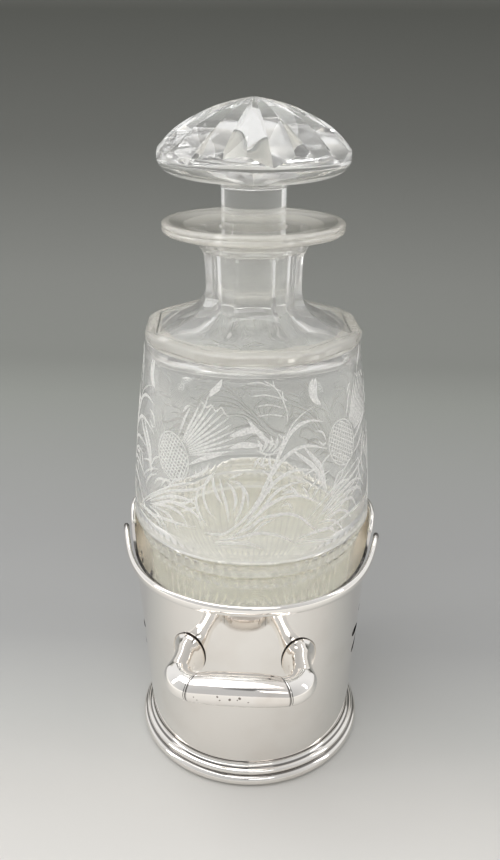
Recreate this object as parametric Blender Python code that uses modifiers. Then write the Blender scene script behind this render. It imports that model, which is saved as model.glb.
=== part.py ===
"""Cut glass decanter with a mushroom stopper, standing in a silver holder with one handle.

Metres, +Z up. The origin is the middle of the underside of the holder's floor, and the handle
points along -Y. The decanter lifts straight out of the holder, and the stopper out of the neck.
"""

import bpy
import bmesh
from math import copysign, cos, pi, radians, sin, tan
from mathutils import Matrix, Vector

# Clearances, shared by every piece that seats on or in another
SEAT_GAP = 0.0003
CUT_OVERRUN = 0.012
WELD_DISTANCE = 0.00001

# Holder: floor, sheet wall and foot
WALL_FOOT_RADIUS = 0.0447
WALL_TAPER_ANGLE = radians(3.32)
WALL_SHEET = 0.0012
FLOOR_THICKNESS = 0.0015
FOOT_PROJECTION = 0.0053
FOOT_HEIGHT = 0.0096

# Holder: flared lip and shaped top edge, as heights of the middle of the rim wire
FLARE_RISE = 0.0216
FLARE_OUT = 0.0010
RIM_WIRE_THICKNESS = 0.0022
RIM_WIRE_DEPTH = 0.0036
RIM_CREST_HEIGHT = 0.1066
RIM_FRONT_DROP = 0.0160
RIM_TIP_DROP = 0.0060
RIM_NOTCH_DROP = 0.0091
RIM_WIRE_OUT = 0.0006
RIM_TIP_CURL = 0.0022
RIM_TIP_ANGLE = radians(84)
RIM_NOTCH_ANGLE = radians(88)

# Holder: pierced motif on each side, as shares of the crest's height
FRET_HEIGHT_SHARE = 0.507
FRET_LEAF_LENGTH_SHARE = 0.141
FRET_LEAF_WIDTH_SHARE = 0.042
FRET_HEART_SHARE = 0.0206
FRET_LEAF_GAP_SHARE = 0.015
FRET_BEAD_SHARE = 0.0135
FRET_BEAD_PITCH_SHARE = 0.040

# Handle
HANDLE_HEIGHT_SHARE = 0.61
HANDLE_ARM_SPACING = 0.0430
HANDLE_REACH = 0.0690
HANDLE_RISE = 0.0045
ELBOW_LENGTH = 0.0068
FLARED_FOOT_WIDTH = 0.0130
FLARED_FOOT_HEIGHT = 0.0190
ARM_WAIST = 0.0094
GRIP_DIAMETER = 0.0122
GRIP_LENGTH = 0.0370
COLLAR_DIAMETER = 0.0132
COLLAR_WIDTH = 0.0014

# Decanter: neck and lip
LIP_RADIUS = 0.0332
LIP_RISE = 0.0096
LIP_EDGE = 0.0038
LIP_GROOVE = 0.0006
LIP_DISH = 0.0022
BORE_RADIUS = 0.0122
NECK_FLAT_RADIUS = 0.0180
NECK_LENGTH = 0.0180
SHOULDER_RISE = 0.0118
NECK_TURN = radians(6)

# Decanter: shoulder, body and base
RING_INNER_RADIUS = 0.0380
RING_RADIUS = 0.0419
RING_DEPTH = 0.0034
BARREL_LENGTH = 0.0775
BODY_EDGE_RADIUS = 0.0489
BODY_EDGE_HEIGHT = 0.1105
BAND_STEP = 0.0016
BAND_HEIGHT = 0.0060
BAND_TAPER = 0.0009
FOOT_CLEARANCE = 0.0050
SLICE_DEPTH = 0.0008
BASE_ROUND = 0.0035
BASE_KICK = 0.0012
GLASS_WALL = 0.0044
BASE_GLASS = 0.0140

# Stopper
DOME_RISE = 0.0201
DOME_RADIUS = 0.0345
DOME_UNDER_DEPTH = 0.0080
STEM_LENGTH = 0.0138
PLUG_LENGTH = 0.0362
MITRE_INNER_RADIUS = 0.0012
MITRE_TIP_SHARES = (0.02, 0.1)
MITRE_DEPTH = 0.0120
STOPPER_TURN = radians(3.4)

# Sizes that follow from the ones above
FOOT_RADIUS = WALL_FOOT_RADIUS + FOOT_PROJECTION
LOWER_FOOT_RADIUS = WALL_FOOT_RADIUS - WALL_SHEET - FOOT_CLEARANCE
FLARE_START_HEIGHT = RIM_CREST_HEIGHT - FLARE_RISE
RIM_FRONT_HEIGHT = RIM_CREST_HEIGHT - RIM_FRONT_DROP
RIM_TIP_HEIGHT = RIM_CREST_HEIGHT - RIM_TIP_DROP
RIM_NOTCH_HEIGHT = RIM_CREST_HEIGHT - RIM_NOTCH_DROP
HANDLE_HEIGHT = RIM_CREST_HEIGHT * HANDLE_HEIGHT_SHARE
RING_HEIGHT = BODY_EDGE_HEIGHT + BARREL_LENGTH
NECK_FOOT_HEIGHT = RING_HEIGHT + SHOULDER_RISE
NECK_TOP_HEIGHT = NECK_FOOT_HEIGHT + NECK_LENGTH
LIP_HEIGHT = NECK_TOP_HEIGHT + LIP_RISE
PLUG_END_HEIGHT = LIP_HEIGHT - PLUG_LENGTH
DOME_UNDER_HEIGHT = LIP_HEIGHT + STEM_LENGTH
DOME_EDGE_HEIGHT = DOME_UNDER_HEIGHT + DOME_UNDER_DEPTH
STOPPER_HEIGHT = DOME_EDGE_HEIGHT + DOME_RISE

# Counts and angles
WALL_STEPS = 64
FRONT_WIRE_STEPS = 32
REAR_WIRE_STEPS = 36
WIRE_SIDES = 10
GLASS_STEPS = 48
DOME_STEPS = 64
NECK_PANELS = 8
LOWER_SLICES = 24
MITRE_CUTS = 16
MITRE_HALF_ANGLE = radians(50)
ROUND_SEGMENTS = 16
LEAF_POINTS = 12

# Outlines, as shares of the sizes that they follow
WALL_HEIGHT_SHARES = (1.0, 0.93, 0.86, 0.79, 0.73, 0.45, 0.2, 0.0)
FRONT_RIM_SHARES = ((0.0, 0.0), (0.45, 0.0), (0.62, 0.03), (0.74, 0.1), (0.84, 0.26), (0.92, 0.56),
                    (1.0, 1.0))
REAR_RIM_SHARES = ((0.0, 0.0), (0.033, 0.44), (0.065, 0.71), (0.13, 0.82), (0.26, 0.71), (0.4, 0.38),
                   (0.54, 0.16), (0.65, 0.23), (0.76, 0.58), (0.85, 0.89), (1.0, 1.0))
RIM_CURL_SHARES = ((0.0, 0.0), (0.2, 0.12), (0.4, 0.42), (0.6, 0.72), (0.8, 0.92), (1.0, 1.0))
FOOT_SHARES = ((0.13, 0.97), (0.22, 0.78), (0.34, 0.73), (0.56, 0.68), (0.64, 0.6), (0.66, 0.51),
               (0.86, 0.47), (0.97, 0.38), (1.0, 0.25), (0.97, 0.1), (0.9, 0.0))
LIP_SHARES = ((0.5, 1.0), (0.125, 0.875), (0.0, 0.7), (0.18, 0.5), (0.0, 0.3), (0.25, 0.0))
LIP_DISH_SHARES = (0.6, 0.35)
UNDER_LIP_SHARES = ((0.66, 0.62), (0.33, 0.28), (0.1, 0.06))
LIP_GUARD_SHARES = (0.25, 0.12)
SHOULDER_SHARES = ((0.0, 0.0), (0.02, 0.2), (0.13, 0.42), (0.36, 0.66), (0.68, 0.87), (1.0, 1.0))
BODY_SHARES = ((0.0, 0.0), (0.19, 0.17), (0.4, 0.33), (0.57, 0.49), (0.72, 0.66), (0.86, 0.82), (1.0, 1.0))
BASE_SHARES = ((0.0, 2.0), (0.3, 0.7), (1.0, 0.0), (2.0, 0.0))
HOLLOW_FLOOR_SHARES = ((0.6, 0.0), (0.92, 1.0), (1.0, 3.0))
HOLLOW_NECK_SHARES = ((0.45, -0.9), (0.05, -0.1))
HOLLOW_SHOULDER_SHARE = 1.6
HOLLOW_EDGE_SHARE = 1.2
DOME_SHARES = ((0.0, 1.0), (0.22, 0.93), (0.42, 0.81), (0.6, 0.67), (0.76, 0.5), (0.89, 0.31),
               (0.97, 0.14), (1.0, 0.0))
UNDER_SHARES = ((0.985, 0.2), (0.93, 0.42), (0.8, 0.62), (0.6, 0.8), (0.4, 0.92))
ARM_SHARES = ((0.0, 1.0), (0.09, 0.82), (0.18, 0.56), (0.3, 0.27), (0.44, 0.08), (0.6, 0.0), (1.0, 0.06))
KNUCKLE_SHARES = ((0.0, 0.0), (0.5, 0.08), (0.84, 0.3), (1.0, 0.75))
GRIP_SHARES = ((0.9, 1.0), (0.99, 0.88), (1.03, 0.5), (1.04, 0.0), (1.03, -0.5), (0.99, -0.88), (0.9, -1.0))
LEAF_ANGLES = (0, 40, 80, 120, 160, -40, -80, -120, -160)
LEAF_SIZE_SHARES = (0.8, 0.85, 0.95, 0.9, 0.7, 0.85, 0.95, 0.9, 0.7)
LEAF_FULL_SHARE = 1.3
BEAD_SHARES = (1.0, 0.86, 0.72)


def clear_scene():
    """Removes whatever the scene starts with."""
    for item in list(bpy.data.objects):
        bpy.data.objects.remove(item, do_unlink=True)


def new_collection(name):
    """A collection linked under the scene."""
    group = bpy.data.collections.new(name)
    bpy.context.scene.collection.children.link(group)
    return group


def new_material(name, colour, roughness, metallic=0.0, transmission=0.0, ior=1.5):
    """A Principled material."""
    material = bpy.data.materials.new(name)
    material.use_nodes = True
    shader = material.node_tree.nodes["Principled BSDF"]
    shader.inputs["Base Color"].default_value = (*colour, 1.0)
    shader.inputs["Roughness"].default_value = roughness
    shader.inputs["Metallic"].default_value = metallic
    shader.inputs["Transmission Weight"].default_value = transmission
    shader.inputs["IOR"].default_value = ior
    return material


clear_scene()
PARTS = new_collection("cut_glass_decanter")
CUTTERS = new_collection("cutters")
CRYSTAL = new_material("lead_crystal", (0.97, 0.98, 0.98), 0.02, transmission=1.0, ior=1.55)
SILVER = new_material("polished_silver", (0.92, 0.89, 0.87), 0.12, metallic=1.0)
BRIGHT_SILVER = new_material("bright_silver_wire", (0.96, 0.94, 0.93), 0.08, metallic=1.0)


def place(item, material):
    """Puts a finished piece in the parts' collection with its material."""
    for group in list(item.users_collection):
        group.objects.unlink(item)
    PARTS.objects.link(item)
    item.data.materials.clear()
    item.data.materials.append(material)
    if item.type == "MESH":
        item.data.shade_smooth()
    return item


def as_cutter(item):
    """Puts a shape that only cuts in the cutters' collection, out of the render."""
    for group in list(item.users_collection):
        group.objects.unlink(item)
    CUTTERS.objects.link(item)
    item.hide_render = True
    item.display_type = "WIRE"
    return item


def new_object(name, data):
    """An object for this data, linked to the scene."""
    item = bpy.data.objects.new(name, data)
    bpy.context.scene.collection.objects.link(item)
    return item


def turned(name, outline, steps, closed=False):
    """A solid of revolution: the outline (radius, height) runs down its outer side."""
    mesh = bpy.data.meshes.new(name)
    points = [(radius, 0.0, height) for radius, height in outline]
    edges = [(i, i + 1) for i in range(len(points) - 1)]
    if closed:
        edges.append((len(points) - 1, 0))
    mesh.from_pydata(points, edges, [])
    item = new_object(name, mesh)
    screw = item.modifiers.new("Turn", "SCREW")
    screw.steps = steps
    screw.render_steps = steps
    screw.use_merge_vertices = True
    screw.merge_threshold = WELD_DISTANCE
    return item


def boolean(item, cutter, operation="DIFFERENCE"):
    """Cuts or joins with the exact solver."""
    modifier = item.modifiers.new(cutter.name, "BOOLEAN")
    modifier.operation = operation
    modifier.object = cutter
    modifier.solver = "EXACT"
    return modifier


def solid_from_curve(item):
    """The closed mesh of a curve object, with its caps welded on."""
    graph = bpy.context.evaluated_depsgraph_get()
    mesh = bpy.data.meshes.new_from_object(item.evaluated_get(graph))
    shape = bmesh.new()
    shape.from_mesh(mesh)
    bmesh.ops.remove_doubles(shape, verts=shape.verts, dist=WELD_DISTANCE)
    bmesh.ops.recalc_face_normals(shape, faces=shape.faces)
    shape.to_mesh(mesh)
    shape.free()
    solid = new_object(item.name, mesh)
    solid.matrix_world = item.matrix_world
    name = item.name
    bpy.data.objects.remove(item, do_unlink=True)
    solid.name = name
    return solid


def oval_wire(name, points, half_thickness, half_depth):
    """A closed wire of upright oval section along the points."""
    section = bpy.data.curves.new(name + "_section", "CURVE")
    ring = section.splines.new("POLY")
    ring.points.add(WIRE_SIDES - 1)
    for i, knot in enumerate(ring.points):
        angle = 2 * pi * i / WIRE_SIDES
        knot.co = (half_thickness * cos(angle), half_depth * sin(angle), 0.0, 1.0)
    ring.use_cyclic_u = True
    guide = new_object(name + "_section", section)
    curve = bpy.data.curves.new(name, "CURVE")
    curve.dimensions = "3D"
    curve.twist_mode = "Z_UP"
    curve.bevel_mode = "OBJECT"
    curve.bevel_object = guide
    curve.use_fill_caps = True
    spline = curve.splines.new("POLY")
    spline.points.add(len(points) - 1)
    for knot, point in zip(spline.points, points):
        knot.co = (*point, 1.0)
    wire = solid_from_curve(new_object(name, curve))
    bpy.data.objects.remove(guide, do_unlink=True)
    return wire


def plate(name, outlines, thickness):
    """Flat outlines in the XY plane, each extruded to the thickness about that plane."""
    curve = bpy.data.curves.new(name, "CURVE")
    curve.dimensions = "2D"
    curve.fill_mode = "BOTH"
    curve.extrude = thickness / 2
    for outline in outlines:
        spline = curve.splines.new("POLY")
        spline.points.add(len(outline) - 1)
        for knot, (across, up) in zip(spline.points, outline):
            knot.co = (across, up, 0.0, 1.0)
        spline.use_cyclic_u = True
    return new_object(name, curve)


def between(low, high, share):
    """The value at this share of the way from low to high."""
    return low + (high - low) * share


def smooth_value(table, share):
    """A smooth curve through a table of (place share, value share), read at one place."""
    last = len(table) - 1
    index = max(i for i in range(last) if table[i][0] <= share or i == 0)

    def slope(i):
        low, high = max(i - 1, 0), min(i + 1, last)
        if low == i or high == i:
            return 0.0
        return (table[high][1] - table[low][1]) / (table[high][0] - table[low][0])

    span = table[index + 1][0] - table[index][0]
    t = (share - table[index][0]) / span
    start, end = table[index][1], table[index + 1][1]
    return (
        (2 * t**3 - 3 * t**2 + 1) * start
        + (t**3 - 2 * t**2 + t) * span * slope(index)
        + (3 * t**2 - 2 * t**3) * end
        + (t**3 - t**2) * span * slope(index + 1)
    )


def wall_radius(height):
    """Outer radius of the sheet wall: a straight taper, and a flare towards the crest."""
    flare_share = max(height - FLARE_START_HEIGHT, 0.0) / (RIM_CREST_HEIGHT - FLARE_START_HEIGHT)
    return WALL_FOOT_RADIUS + height * tan(WALL_TAPER_ANGLE) + FLARE_OUT * flare_share**2


def rim_height(angle):
    """Height of the rim wire's middle at this angle from the handle, up to half a turn either way."""
    angle = abs(angle)
    if angle <= RIM_TIP_ANGLE:
        share = smooth_value(FRONT_RIM_SHARES, angle / RIM_TIP_ANGLE)
        return between(RIM_FRONT_HEIGHT, RIM_TIP_HEIGHT, share)
    share = max(angle - RIM_NOTCH_ANGLE, 0.0) / (pi - RIM_NOTCH_ANGLE)
    return between(RIM_NOTCH_HEIGHT, RIM_CREST_HEIGHT, smooth_value(REAR_RIM_SHARES, share))


def rim_point(angle, outwards=0.0):
    """A point of the rim wire's middle line, just outside the middle of the sheet."""
    height = rim_height(angle)
    radius = wall_radius(height) - WALL_SHEET / 2 + RIM_WIRE_OUT + outwards
    return Vector((radius * sin(angle), -radius * cos(angle), height))


def front_rim_points():
    """The front wire's middle line, which leans outwards towards its two ends."""
    points = []
    for i in range(FRONT_WIRE_STEPS + 1):
        angle = between(-RIM_TIP_ANGLE, RIM_TIP_ANGLE, i / FRONT_WIRE_STEPS)
        curl = smooth_value(RIM_CURL_SHARES, abs(angle) / RIM_TIP_ANGLE)
        points.append(rim_point(angle, RIM_TIP_CURL * curl))
    return points


def rear_rim_points():
    """The rear wire's middle line, from notch to notch round the back."""
    points = []
    for i in range(REAR_WIRE_STEPS + 1):
        angle = between(RIM_NOTCH_ANGLE, 2 * pi - RIM_NOTCH_ANGLE, i / REAR_WIRE_STEPS)
        points.append(rim_point(angle if angle <= pi else angle - 2 * pi))
    return points


def teardrop(length, width, turn, start):
    """A leaf-shaped hole: its point is at the start distance from the motif's middle."""
    outline = []
    for i in range(LEAF_POINTS):
        t = 2 * pi * i / LEAF_POINTS
        along = start + length * (1 - cos(t)) / 2
        across = width / 2 * sin(t) * (1 - cos(t)) / LEAF_FULL_SHARE
        outline.append((along * sin(turn) + across * cos(turn), along * cos(turn) - across * sin(turn)))
    return outline


def disc_outline(radius, up):
    """A round hole at this height over the motif's middle."""
    return [(radius * sin(2 * pi * i / LEAF_POINTS), up + radius * cos(2 * pi * i / LEAF_POINTS))
            for i in range(LEAF_POINTS)]


def fret_outlines():
    """The pierced motif: a round heart, a fan of leaves about it and graded beads above."""
    heart, gap, length, width, bead, pitch = (RIM_CREST_HEIGHT * share for share in (
        FRET_HEART_SHARE, FRET_LEAF_GAP_SHARE, FRET_LEAF_LENGTH_SHARE, FRET_LEAF_WIDTH_SHARE,
        FRET_BEAD_SHARE, FRET_BEAD_PITCH_SHARE))
    outlines = [disc_outline(heart, 0.0)]
    for degrees, share in zip(LEAF_ANGLES, LEAF_SIZE_SHARES):
        outlines.append(teardrop(length * share, width * share, radians(degrees), heart + gap))
    up = heart + gap + length * LEAF_SIZE_SHARES[0] + pitch
    for share in BEAD_SHARES:
        outlines.append(disc_outline(bead * share, up))
        up += pitch
    return outlines


def make_stand_wall():
    """The tapered sheet, cut to its shaped edge, coped to the rim wires and pierced."""
    top = RIM_CREST_HEIGHT + RIM_WIRE_DEPTH / 2
    outline = [(wall_radius(top * share), top * share) for share in WALL_HEIGHT_SHARES]
    wall = turned("stand_wall", outline, WALL_STEPS)
    sheet = wall.modifiers.new("Sheet", "SOLIDIFY")
    sheet.thickness = WALL_SHEET
    sheet.offset = -1.0
    sheet.use_even_offset = True

    halfway = REAR_WIRE_STEPS // 2
    angles = [RIM_TIP_ANGLE * i / halfway for i in range(halfway + 1)]
    angles += [between(RIM_NOTCH_ANGLE, pi, i / halfway) for i in range(halfway + 1)]
    above = [(-wall_radius(rim_height(angle)) * cos(angle), rim_height(angle)) for angle in angles]
    far = FOOT_RADIUS + CUT_OVERRUN
    high = RIM_CREST_HEIGHT + CUT_OVERRUN
    above += [(far, RIM_CREST_HEIGHT), (far, high), (-far, high), (-far, RIM_FRONT_HEIGHT)]
    edge = plate("cut_edge", [above], 2 * far)
    edge.matrix_world = Matrix(((0, 0, 1, 0), (1, 0, 0, 0), (0, 1, 0, 0), (0, 0, 0, 1)))
    bpy.context.view_layer.update()
    edge = as_cutter(solid_from_curve(edge))
    boolean(wall, edge)

    for name, points in (("cope_front", front_rim_points()), ("cope_rear", rear_rim_points())):
        cope = oval_wire(name, points, RIM_WIRE_THICKNESS / 2 + SEAT_GAP, RIM_WIRE_DEPTH / 2 + SEAT_GAP)
        boolean(wall, as_cutter(cope))

    reach = 2 * (WALL_FOOT_RADIUS + CUT_OVERRUN)
    fret = plate("cut_fret", fret_outlines(), reach)
    fret.matrix_world = Matrix(((0, 0, 1, 0), (1, 0, 0, 0),
                                (0, 1, 0, RIM_CREST_HEIGHT * FRET_HEIGHT_SHARE),
                                (0, 0, 0, 1)))
    bpy.context.view_layer.update()
    fret = as_cutter(solid_from_curve(fret))
    boolean(wall, fret)
    return place(wall, SILVER)


def make_stand_floor():
    """The disc that the decanter stands on, inside the foot of the wall."""
    radius = WALL_FOOT_RADIUS - WALL_SHEET - SEAT_GAP
    outline = [(0.0, FLOOR_THICKNESS), (radius, FLOOR_THICKNESS), (radius, 0.0), (0.0, 0.0)]
    return place(turned("stand_floor", outline, WALL_STEPS), SILVER)


def make_foot_moulding():
    """The stepped ring round the foot: a large bead, a small one and a fillet."""
    inner_top = wall_radius(FOOT_HEIGHT) + SEAT_GAP
    inner_foot = wall_radius(0.0) + SEAT_GAP
    outline = [(inner_top, FOOT_HEIGHT)]
    outline += [(between(inner_foot, FOOT_RADIUS, out), FOOT_HEIGHT * up) for out, up in FOOT_SHARES]
    outline += [(inner_foot, 0.0)]
    return place(turned("foot_moulding", outline, WALL_STEPS, closed=True), SILVER)


def make_rim_wires():
    """The two oval wires along the shaped edge."""
    for name, points in (("front_rim_wire", front_rim_points()), ("rear_rim_wire", rear_rim_points())):
        place(oval_wire(name, points, RIM_WIRE_THICKNESS / 2, RIM_WIRE_DEPTH / 2), BRIGHT_SILVER)


def loft(name, rings):
    """A closed solid through rings of equal counts of points, capped at both ends."""
    shape = bmesh.new()
    rows = [[shape.verts.new(point) for point in ring] for ring in rings]
    count = len(rows[0])
    for near, far in zip(rows, rows[1:]):
        for i in range(count):
            j = (i + 1) % count
            shape.faces.new((near[i], near[j], far[j], far[i]))
    shape.faces.new(rows[0][::-1])
    shape.faces.new(rows[-1])
    bmesh.ops.recalc_face_normals(shape, faces=shape.faces)
    mesh = bpy.data.meshes.new(name)
    shape.to_mesh(mesh)
    shape.free()
    return new_object(name, mesh)


def wall_side(height, across):
    """The wall's outer surface towards the handle at this height and distance from the middle."""
    return -(wall_radius(height) ** 2 - across**2) ** 0.5


def on_grip(item, across=0.0, turn=pi / 2):
    """Lays a turned piece along the grip's axis, at this distance from the middle."""
    place_at = Matrix.Translation((across, -HANDLE_REACH, HANDLE_HEIGHT + HANDLE_RISE))
    item.matrix_world = place_at @ Matrix.Rotation(turn, 4, "Y")


def oval_ring(middle, half_width, half_height):
    """Points round an upright oval that faces along Y."""
    return [(middle[0] + half_width * cos(2 * pi * i / ROUND_SEGMENTS), middle[1],
             middle[2] + half_height * sin(2 * pi * i / ROUND_SEGMENTS)) for i in range(ROUND_SEGMENTS)]


def make_handle_arm(name, side):
    """A flared oval foot on the wall, a waist, and a rounded elbow that faces the grip."""
    root_across = HANDLE_ARM_SPACING / 2
    seam = GRIP_LENGTH / 2 + COLLAR_WIDTH + 2 * SEAT_GAP
    end_across = seam + ELBOW_LENGTH
    knuckle = GRIP_DIAMETER / 2
    elbow_half = (end_across - seam) / 2 - SEAT_GAP
    elbow_across = seam + SEAT_GAP + elbow_half
    root = wall_side(HANDLE_HEIGHT, root_across) + WALL_SHEET
    rings = []
    for share, flare in ARM_SHARES:
        middle = (side * between(root_across, elbow_across, share**0.5), between(root, -HANDLE_REACH, share),
                  HANDLE_HEIGHT + HANDLE_RISE * share)
        half_width = between(elbow_half, FLARED_FOOT_WIDTH / 2, flare)
        half_height = between(ARM_WAIST / 2, FLARED_FOOT_HEIGHT / 2, flare)
        rings.append(oval_ring(middle, half_width, half_height))
    arm = loft(name, rings)

    outline = [(knuckle * out, end_across - knuckle * back) for out, back in KNUCKLE_SHARES]
    outline += [(knuckle, seam), (0.0, seam)]
    elbow = as_cutter(turned(name + "_elbow", outline, ROUND_SEGMENTS))
    on_grip(elbow, turn=side * pi / 2)
    boolean(arm, elbow, "UNION")

    shell_radius = wall_radius(FLARE_START_HEIGHT) + SEAT_GAP
    shell_outline = [(0.0, FLARE_START_HEIGHT), (shell_radius, FLARE_START_HEIGHT),
                     (wall_radius(FOOT_HEIGHT) + SEAT_GAP, FOOT_HEIGHT), (0.0, FOOT_HEIGHT)]
    shell = as_cutter(turned(name + "_cope", shell_outline, WALL_STEPS))
    boolean(arm, shell)
    return place(arm, BRIGHT_SILVER)


def make_grip():
    """The bar between the collars, slightly barrelled."""
    half = GRIP_LENGTH / 2
    radius = GRIP_DIAMETER / 2
    outline = [(0.0, half)] + [(radius * out, half * up) for out, up in GRIP_SHARES] + [(0.0, -half)]
    grip = turned("handle_grip", outline, ROUND_SEGMENTS)
    on_grip(grip)
    return place(grip, BRIGHT_SILVER)


def make_collar(name, side):
    """A narrow raised ring at the seam between the grip and an arm."""
    half = COLLAR_WIDTH / 2
    radius = COLLAR_DIAMETER / 2
    outline = [(0.0, half), (radius - half, half), (radius, 0.0), (radius - half, -half), (0.0, -half)]
    collar = turned(name, outline, ROUND_SEGMENTS)
    on_grip(collar, side * (GRIP_LENGTH / 2 + SEAT_GAP + half))
    return place(collar, BRIGHT_SILVER)


def shoulder_points(inner, outer, low, high):
    """The concave sweep from the neck's foot out to the ring."""
    return [(between(inner, outer, out), between(high, low, down)) for out, down in SHOULDER_SHARES]


def body_points(inwards=0.0):
    """The barrel from under the ring down to its lower edge, outside or offset inwards."""
    top = RING_HEIGHT - RING_DEPTH
    top_radius = RING_RADIUS - LIP_GROOVE / 2
    return [(between(top_radius, BODY_EDGE_RADIUS, out) - inwards, between(top, BODY_EDGE_HEIGHT, down))
            for out, down in BODY_SHARES]


def band_sizes():
    """Of the two stepped bands: both top radii, the radius below them, and the foot of each."""
    first = BODY_EDGE_RADIUS - BAND_STEP
    second = first - BAND_TAPER - BAND_STEP
    lower = second - BAND_TAPER - BAND_STEP
    first_foot = BODY_EDGE_HEIGHT - BAND_STEP - BAND_HEIGHT
    return first, second, lower, first_foot, first_foot - BAND_STEP - BAND_HEIGHT


def outside_points(neck_round, base):
    """The decanter's outer side, from the mouth down to the middle of its base."""
    mouth = LIP_HEIGHT - LIP_DISH
    lip_foot = LIP_HEIGHT - LIP_EDGE
    dish_out, dish_up = LIP_DISH_SHARES
    points = [(BORE_RADIUS + LIP_GROOVE, mouth)]
    points += [(between(BORE_RADIUS, LIP_RADIUS, dish_out), mouth + LIP_DISH * dish_up)]
    points += [(LIP_RADIUS - LIP_EDGE * back, lip_foot + LIP_EDGE * up) for back, up in LIP_SHARES]
    points += [(between(neck_round, LIP_RADIUS, out), between(NECK_TOP_HEIGHT, lip_foot, up))
               for out, up in UNDER_LIP_SHARES]
    points += [(neck_round, NECK_TOP_HEIGHT - LIP_GROOVE)]
    points += shoulder_points(neck_round, RING_INNER_RADIUS, RING_HEIGHT, NECK_FOOT_HEIGHT)
    ring_foot = RING_HEIGHT - RING_DEPTH
    points += [(RING_RADIUS - RING_DEPTH / 4, RING_HEIGHT + LIP_GROOVE / 2),
               (RING_RADIUS, RING_HEIGHT - RING_DEPTH / 4), (RING_RADIUS, ring_foot + RING_DEPTH / 4),
               (RING_RADIUS - LIP_GROOVE * 2, ring_foot)]
    points += body_points()
    first, second, lower, first_foot, lower_height = band_sizes()
    points += [(first, BODY_EDGE_HEIGHT - BAND_STEP), (first - BAND_TAPER, first_foot),
               (second, first_foot - BAND_STEP / 2), (second - BAND_TAPER, lower_height + BAND_STEP / 2),
               (lower, lower_height), (between(lower, LOWER_FOOT_RADIUS, 0.5), lower_height / 2)]
    points += [(LOWER_FOOT_RADIUS - BASE_ROUND * back, base + BASE_ROUND * up) for back, up in BASE_SHARES]
    points += [(LOWER_FOOT_RADIUS - BASE_ROUND * 3, base + BASE_KICK), (0.0, base + BASE_KICK)]
    return points


def hollow_points(base):
    """The decanter's inner side, from the middle of its floor up to the mouth."""
    floor = base + BASE_GLASS
    foot = LOWER_FOOT_RADIUS - GLASS_WALL
    _, second, lower, first_foot, lower_height = band_sizes()
    points = [(0.0, floor - BASE_ROUND / 2)]
    points += [(foot * out, floor + BASE_ROUND * up) for out, up in HOLLOW_FLOOR_SHARES]
    points += [(lower - GLASS_WALL, lower_height), (second - GLASS_WALL, first_foot),
               (BODY_EDGE_RADIUS - GLASS_WALL * HOLLOW_EDGE_SHARE, BODY_EDGE_HEIGHT)]
    points += body_points(GLASS_WALL)[::-1][1:-2]
    points += [(RING_INNER_RADIUS - GLASS_WALL, RING_HEIGHT - GLASS_WALL * HOLLOW_SHOULDER_SHARE)]
    points += [(between(BORE_RADIUS, RING_INNER_RADIUS, out), RING_HEIGHT + GLASS_WALL * up)
               for out, up in HOLLOW_NECK_SHARES]
    points += [(BORE_RADIUS, PLUG_END_HEIGHT - SEAT_GAP), (BORE_RADIUS, LIP_HEIGHT - LIP_DISH - LIP_GROOVE)]
    return points


def make_neck_guard():
    """An eight-sided sheath: what is inside it keeps flat panels from the lip down to the ring."""
    corner = 1 / cos(pi / NECK_PANELS)
    far = FOOT_RADIUS + CUT_OVERRUN
    top = LIP_HEIGHT + CUT_OVERRUN
    lip_foot = LIP_HEIGHT - LIP_EDGE
    out_share, up_share = LIP_GUARD_SHARES
    waist = between(NECK_FLAT_RADIUS, LIP_RADIUS, out_share)
    outline = [(0.0, top), (far, top), (far, lip_foot), (LIP_RADIUS * corner, lip_foot),
               (waist * corner, between(NECK_TOP_HEIGHT, lip_foot, up_share)),
               (NECK_FLAT_RADIUS * corner, NECK_TOP_HEIGHT - LIP_GROOVE)]
    flats = shoulder_points(NECK_FLAT_RADIUS, RING_INNER_RADIUS, RING_HEIGHT, NECK_FOOT_HEIGHT)
    outline += [(radius * corner, height) for radius, height in flats[:-1]]
    outline += [((RING_INNER_RADIUS + LIP_GROOVE) * corner, RING_HEIGHT + LIP_GROOVE),
                (far, RING_HEIGHT + LIP_GROOVE * 2), (far, -CUT_OVERRUN), (0.0, -CUT_OVERRUN)]
    guard = as_cutter(turned("guard_neck", outline, NECK_PANELS))
    guard.matrix_world = Matrix.Rotation(NECK_TURN + pi / NECK_PANELS, 4, "Z")
    return guard


def make_slice_guard(base):
    """A many-sided sheath that keeps flat slices on the body below its bands."""
    corner = 1 / cos(pi / LOWER_SLICES)
    far = FOOT_RADIUS + CUT_OVERRUN
    top = LIP_HEIGHT + CUT_OVERRUN
    _, _, lower, _, lower_height = band_sizes()
    slice_top = lower - SLICE_DEPTH
    slice_foot = LOWER_FOOT_RADIUS - SLICE_DEPTH
    outline = [(0.0, top), (far, top), (far, lower_height - BAND_STEP / 2),
               (slice_top * corner, lower_height - BAND_STEP),
               (between(slice_top, slice_foot, 0.5) * corner, lower_height / 2),
               (slice_foot * corner, base + BASE_ROUND * 2 + LIP_GROOVE), (far, base + BASE_ROUND),
               (far, -CUT_OVERRUN), (0.0, -CUT_OVERRUN)]
    guard = as_cutter(turned("guard_slices", outline, LOWER_SLICES))
    guard.matrix_world = Matrix.Rotation(NECK_TURN, 4, "Z")
    return guard


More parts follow.
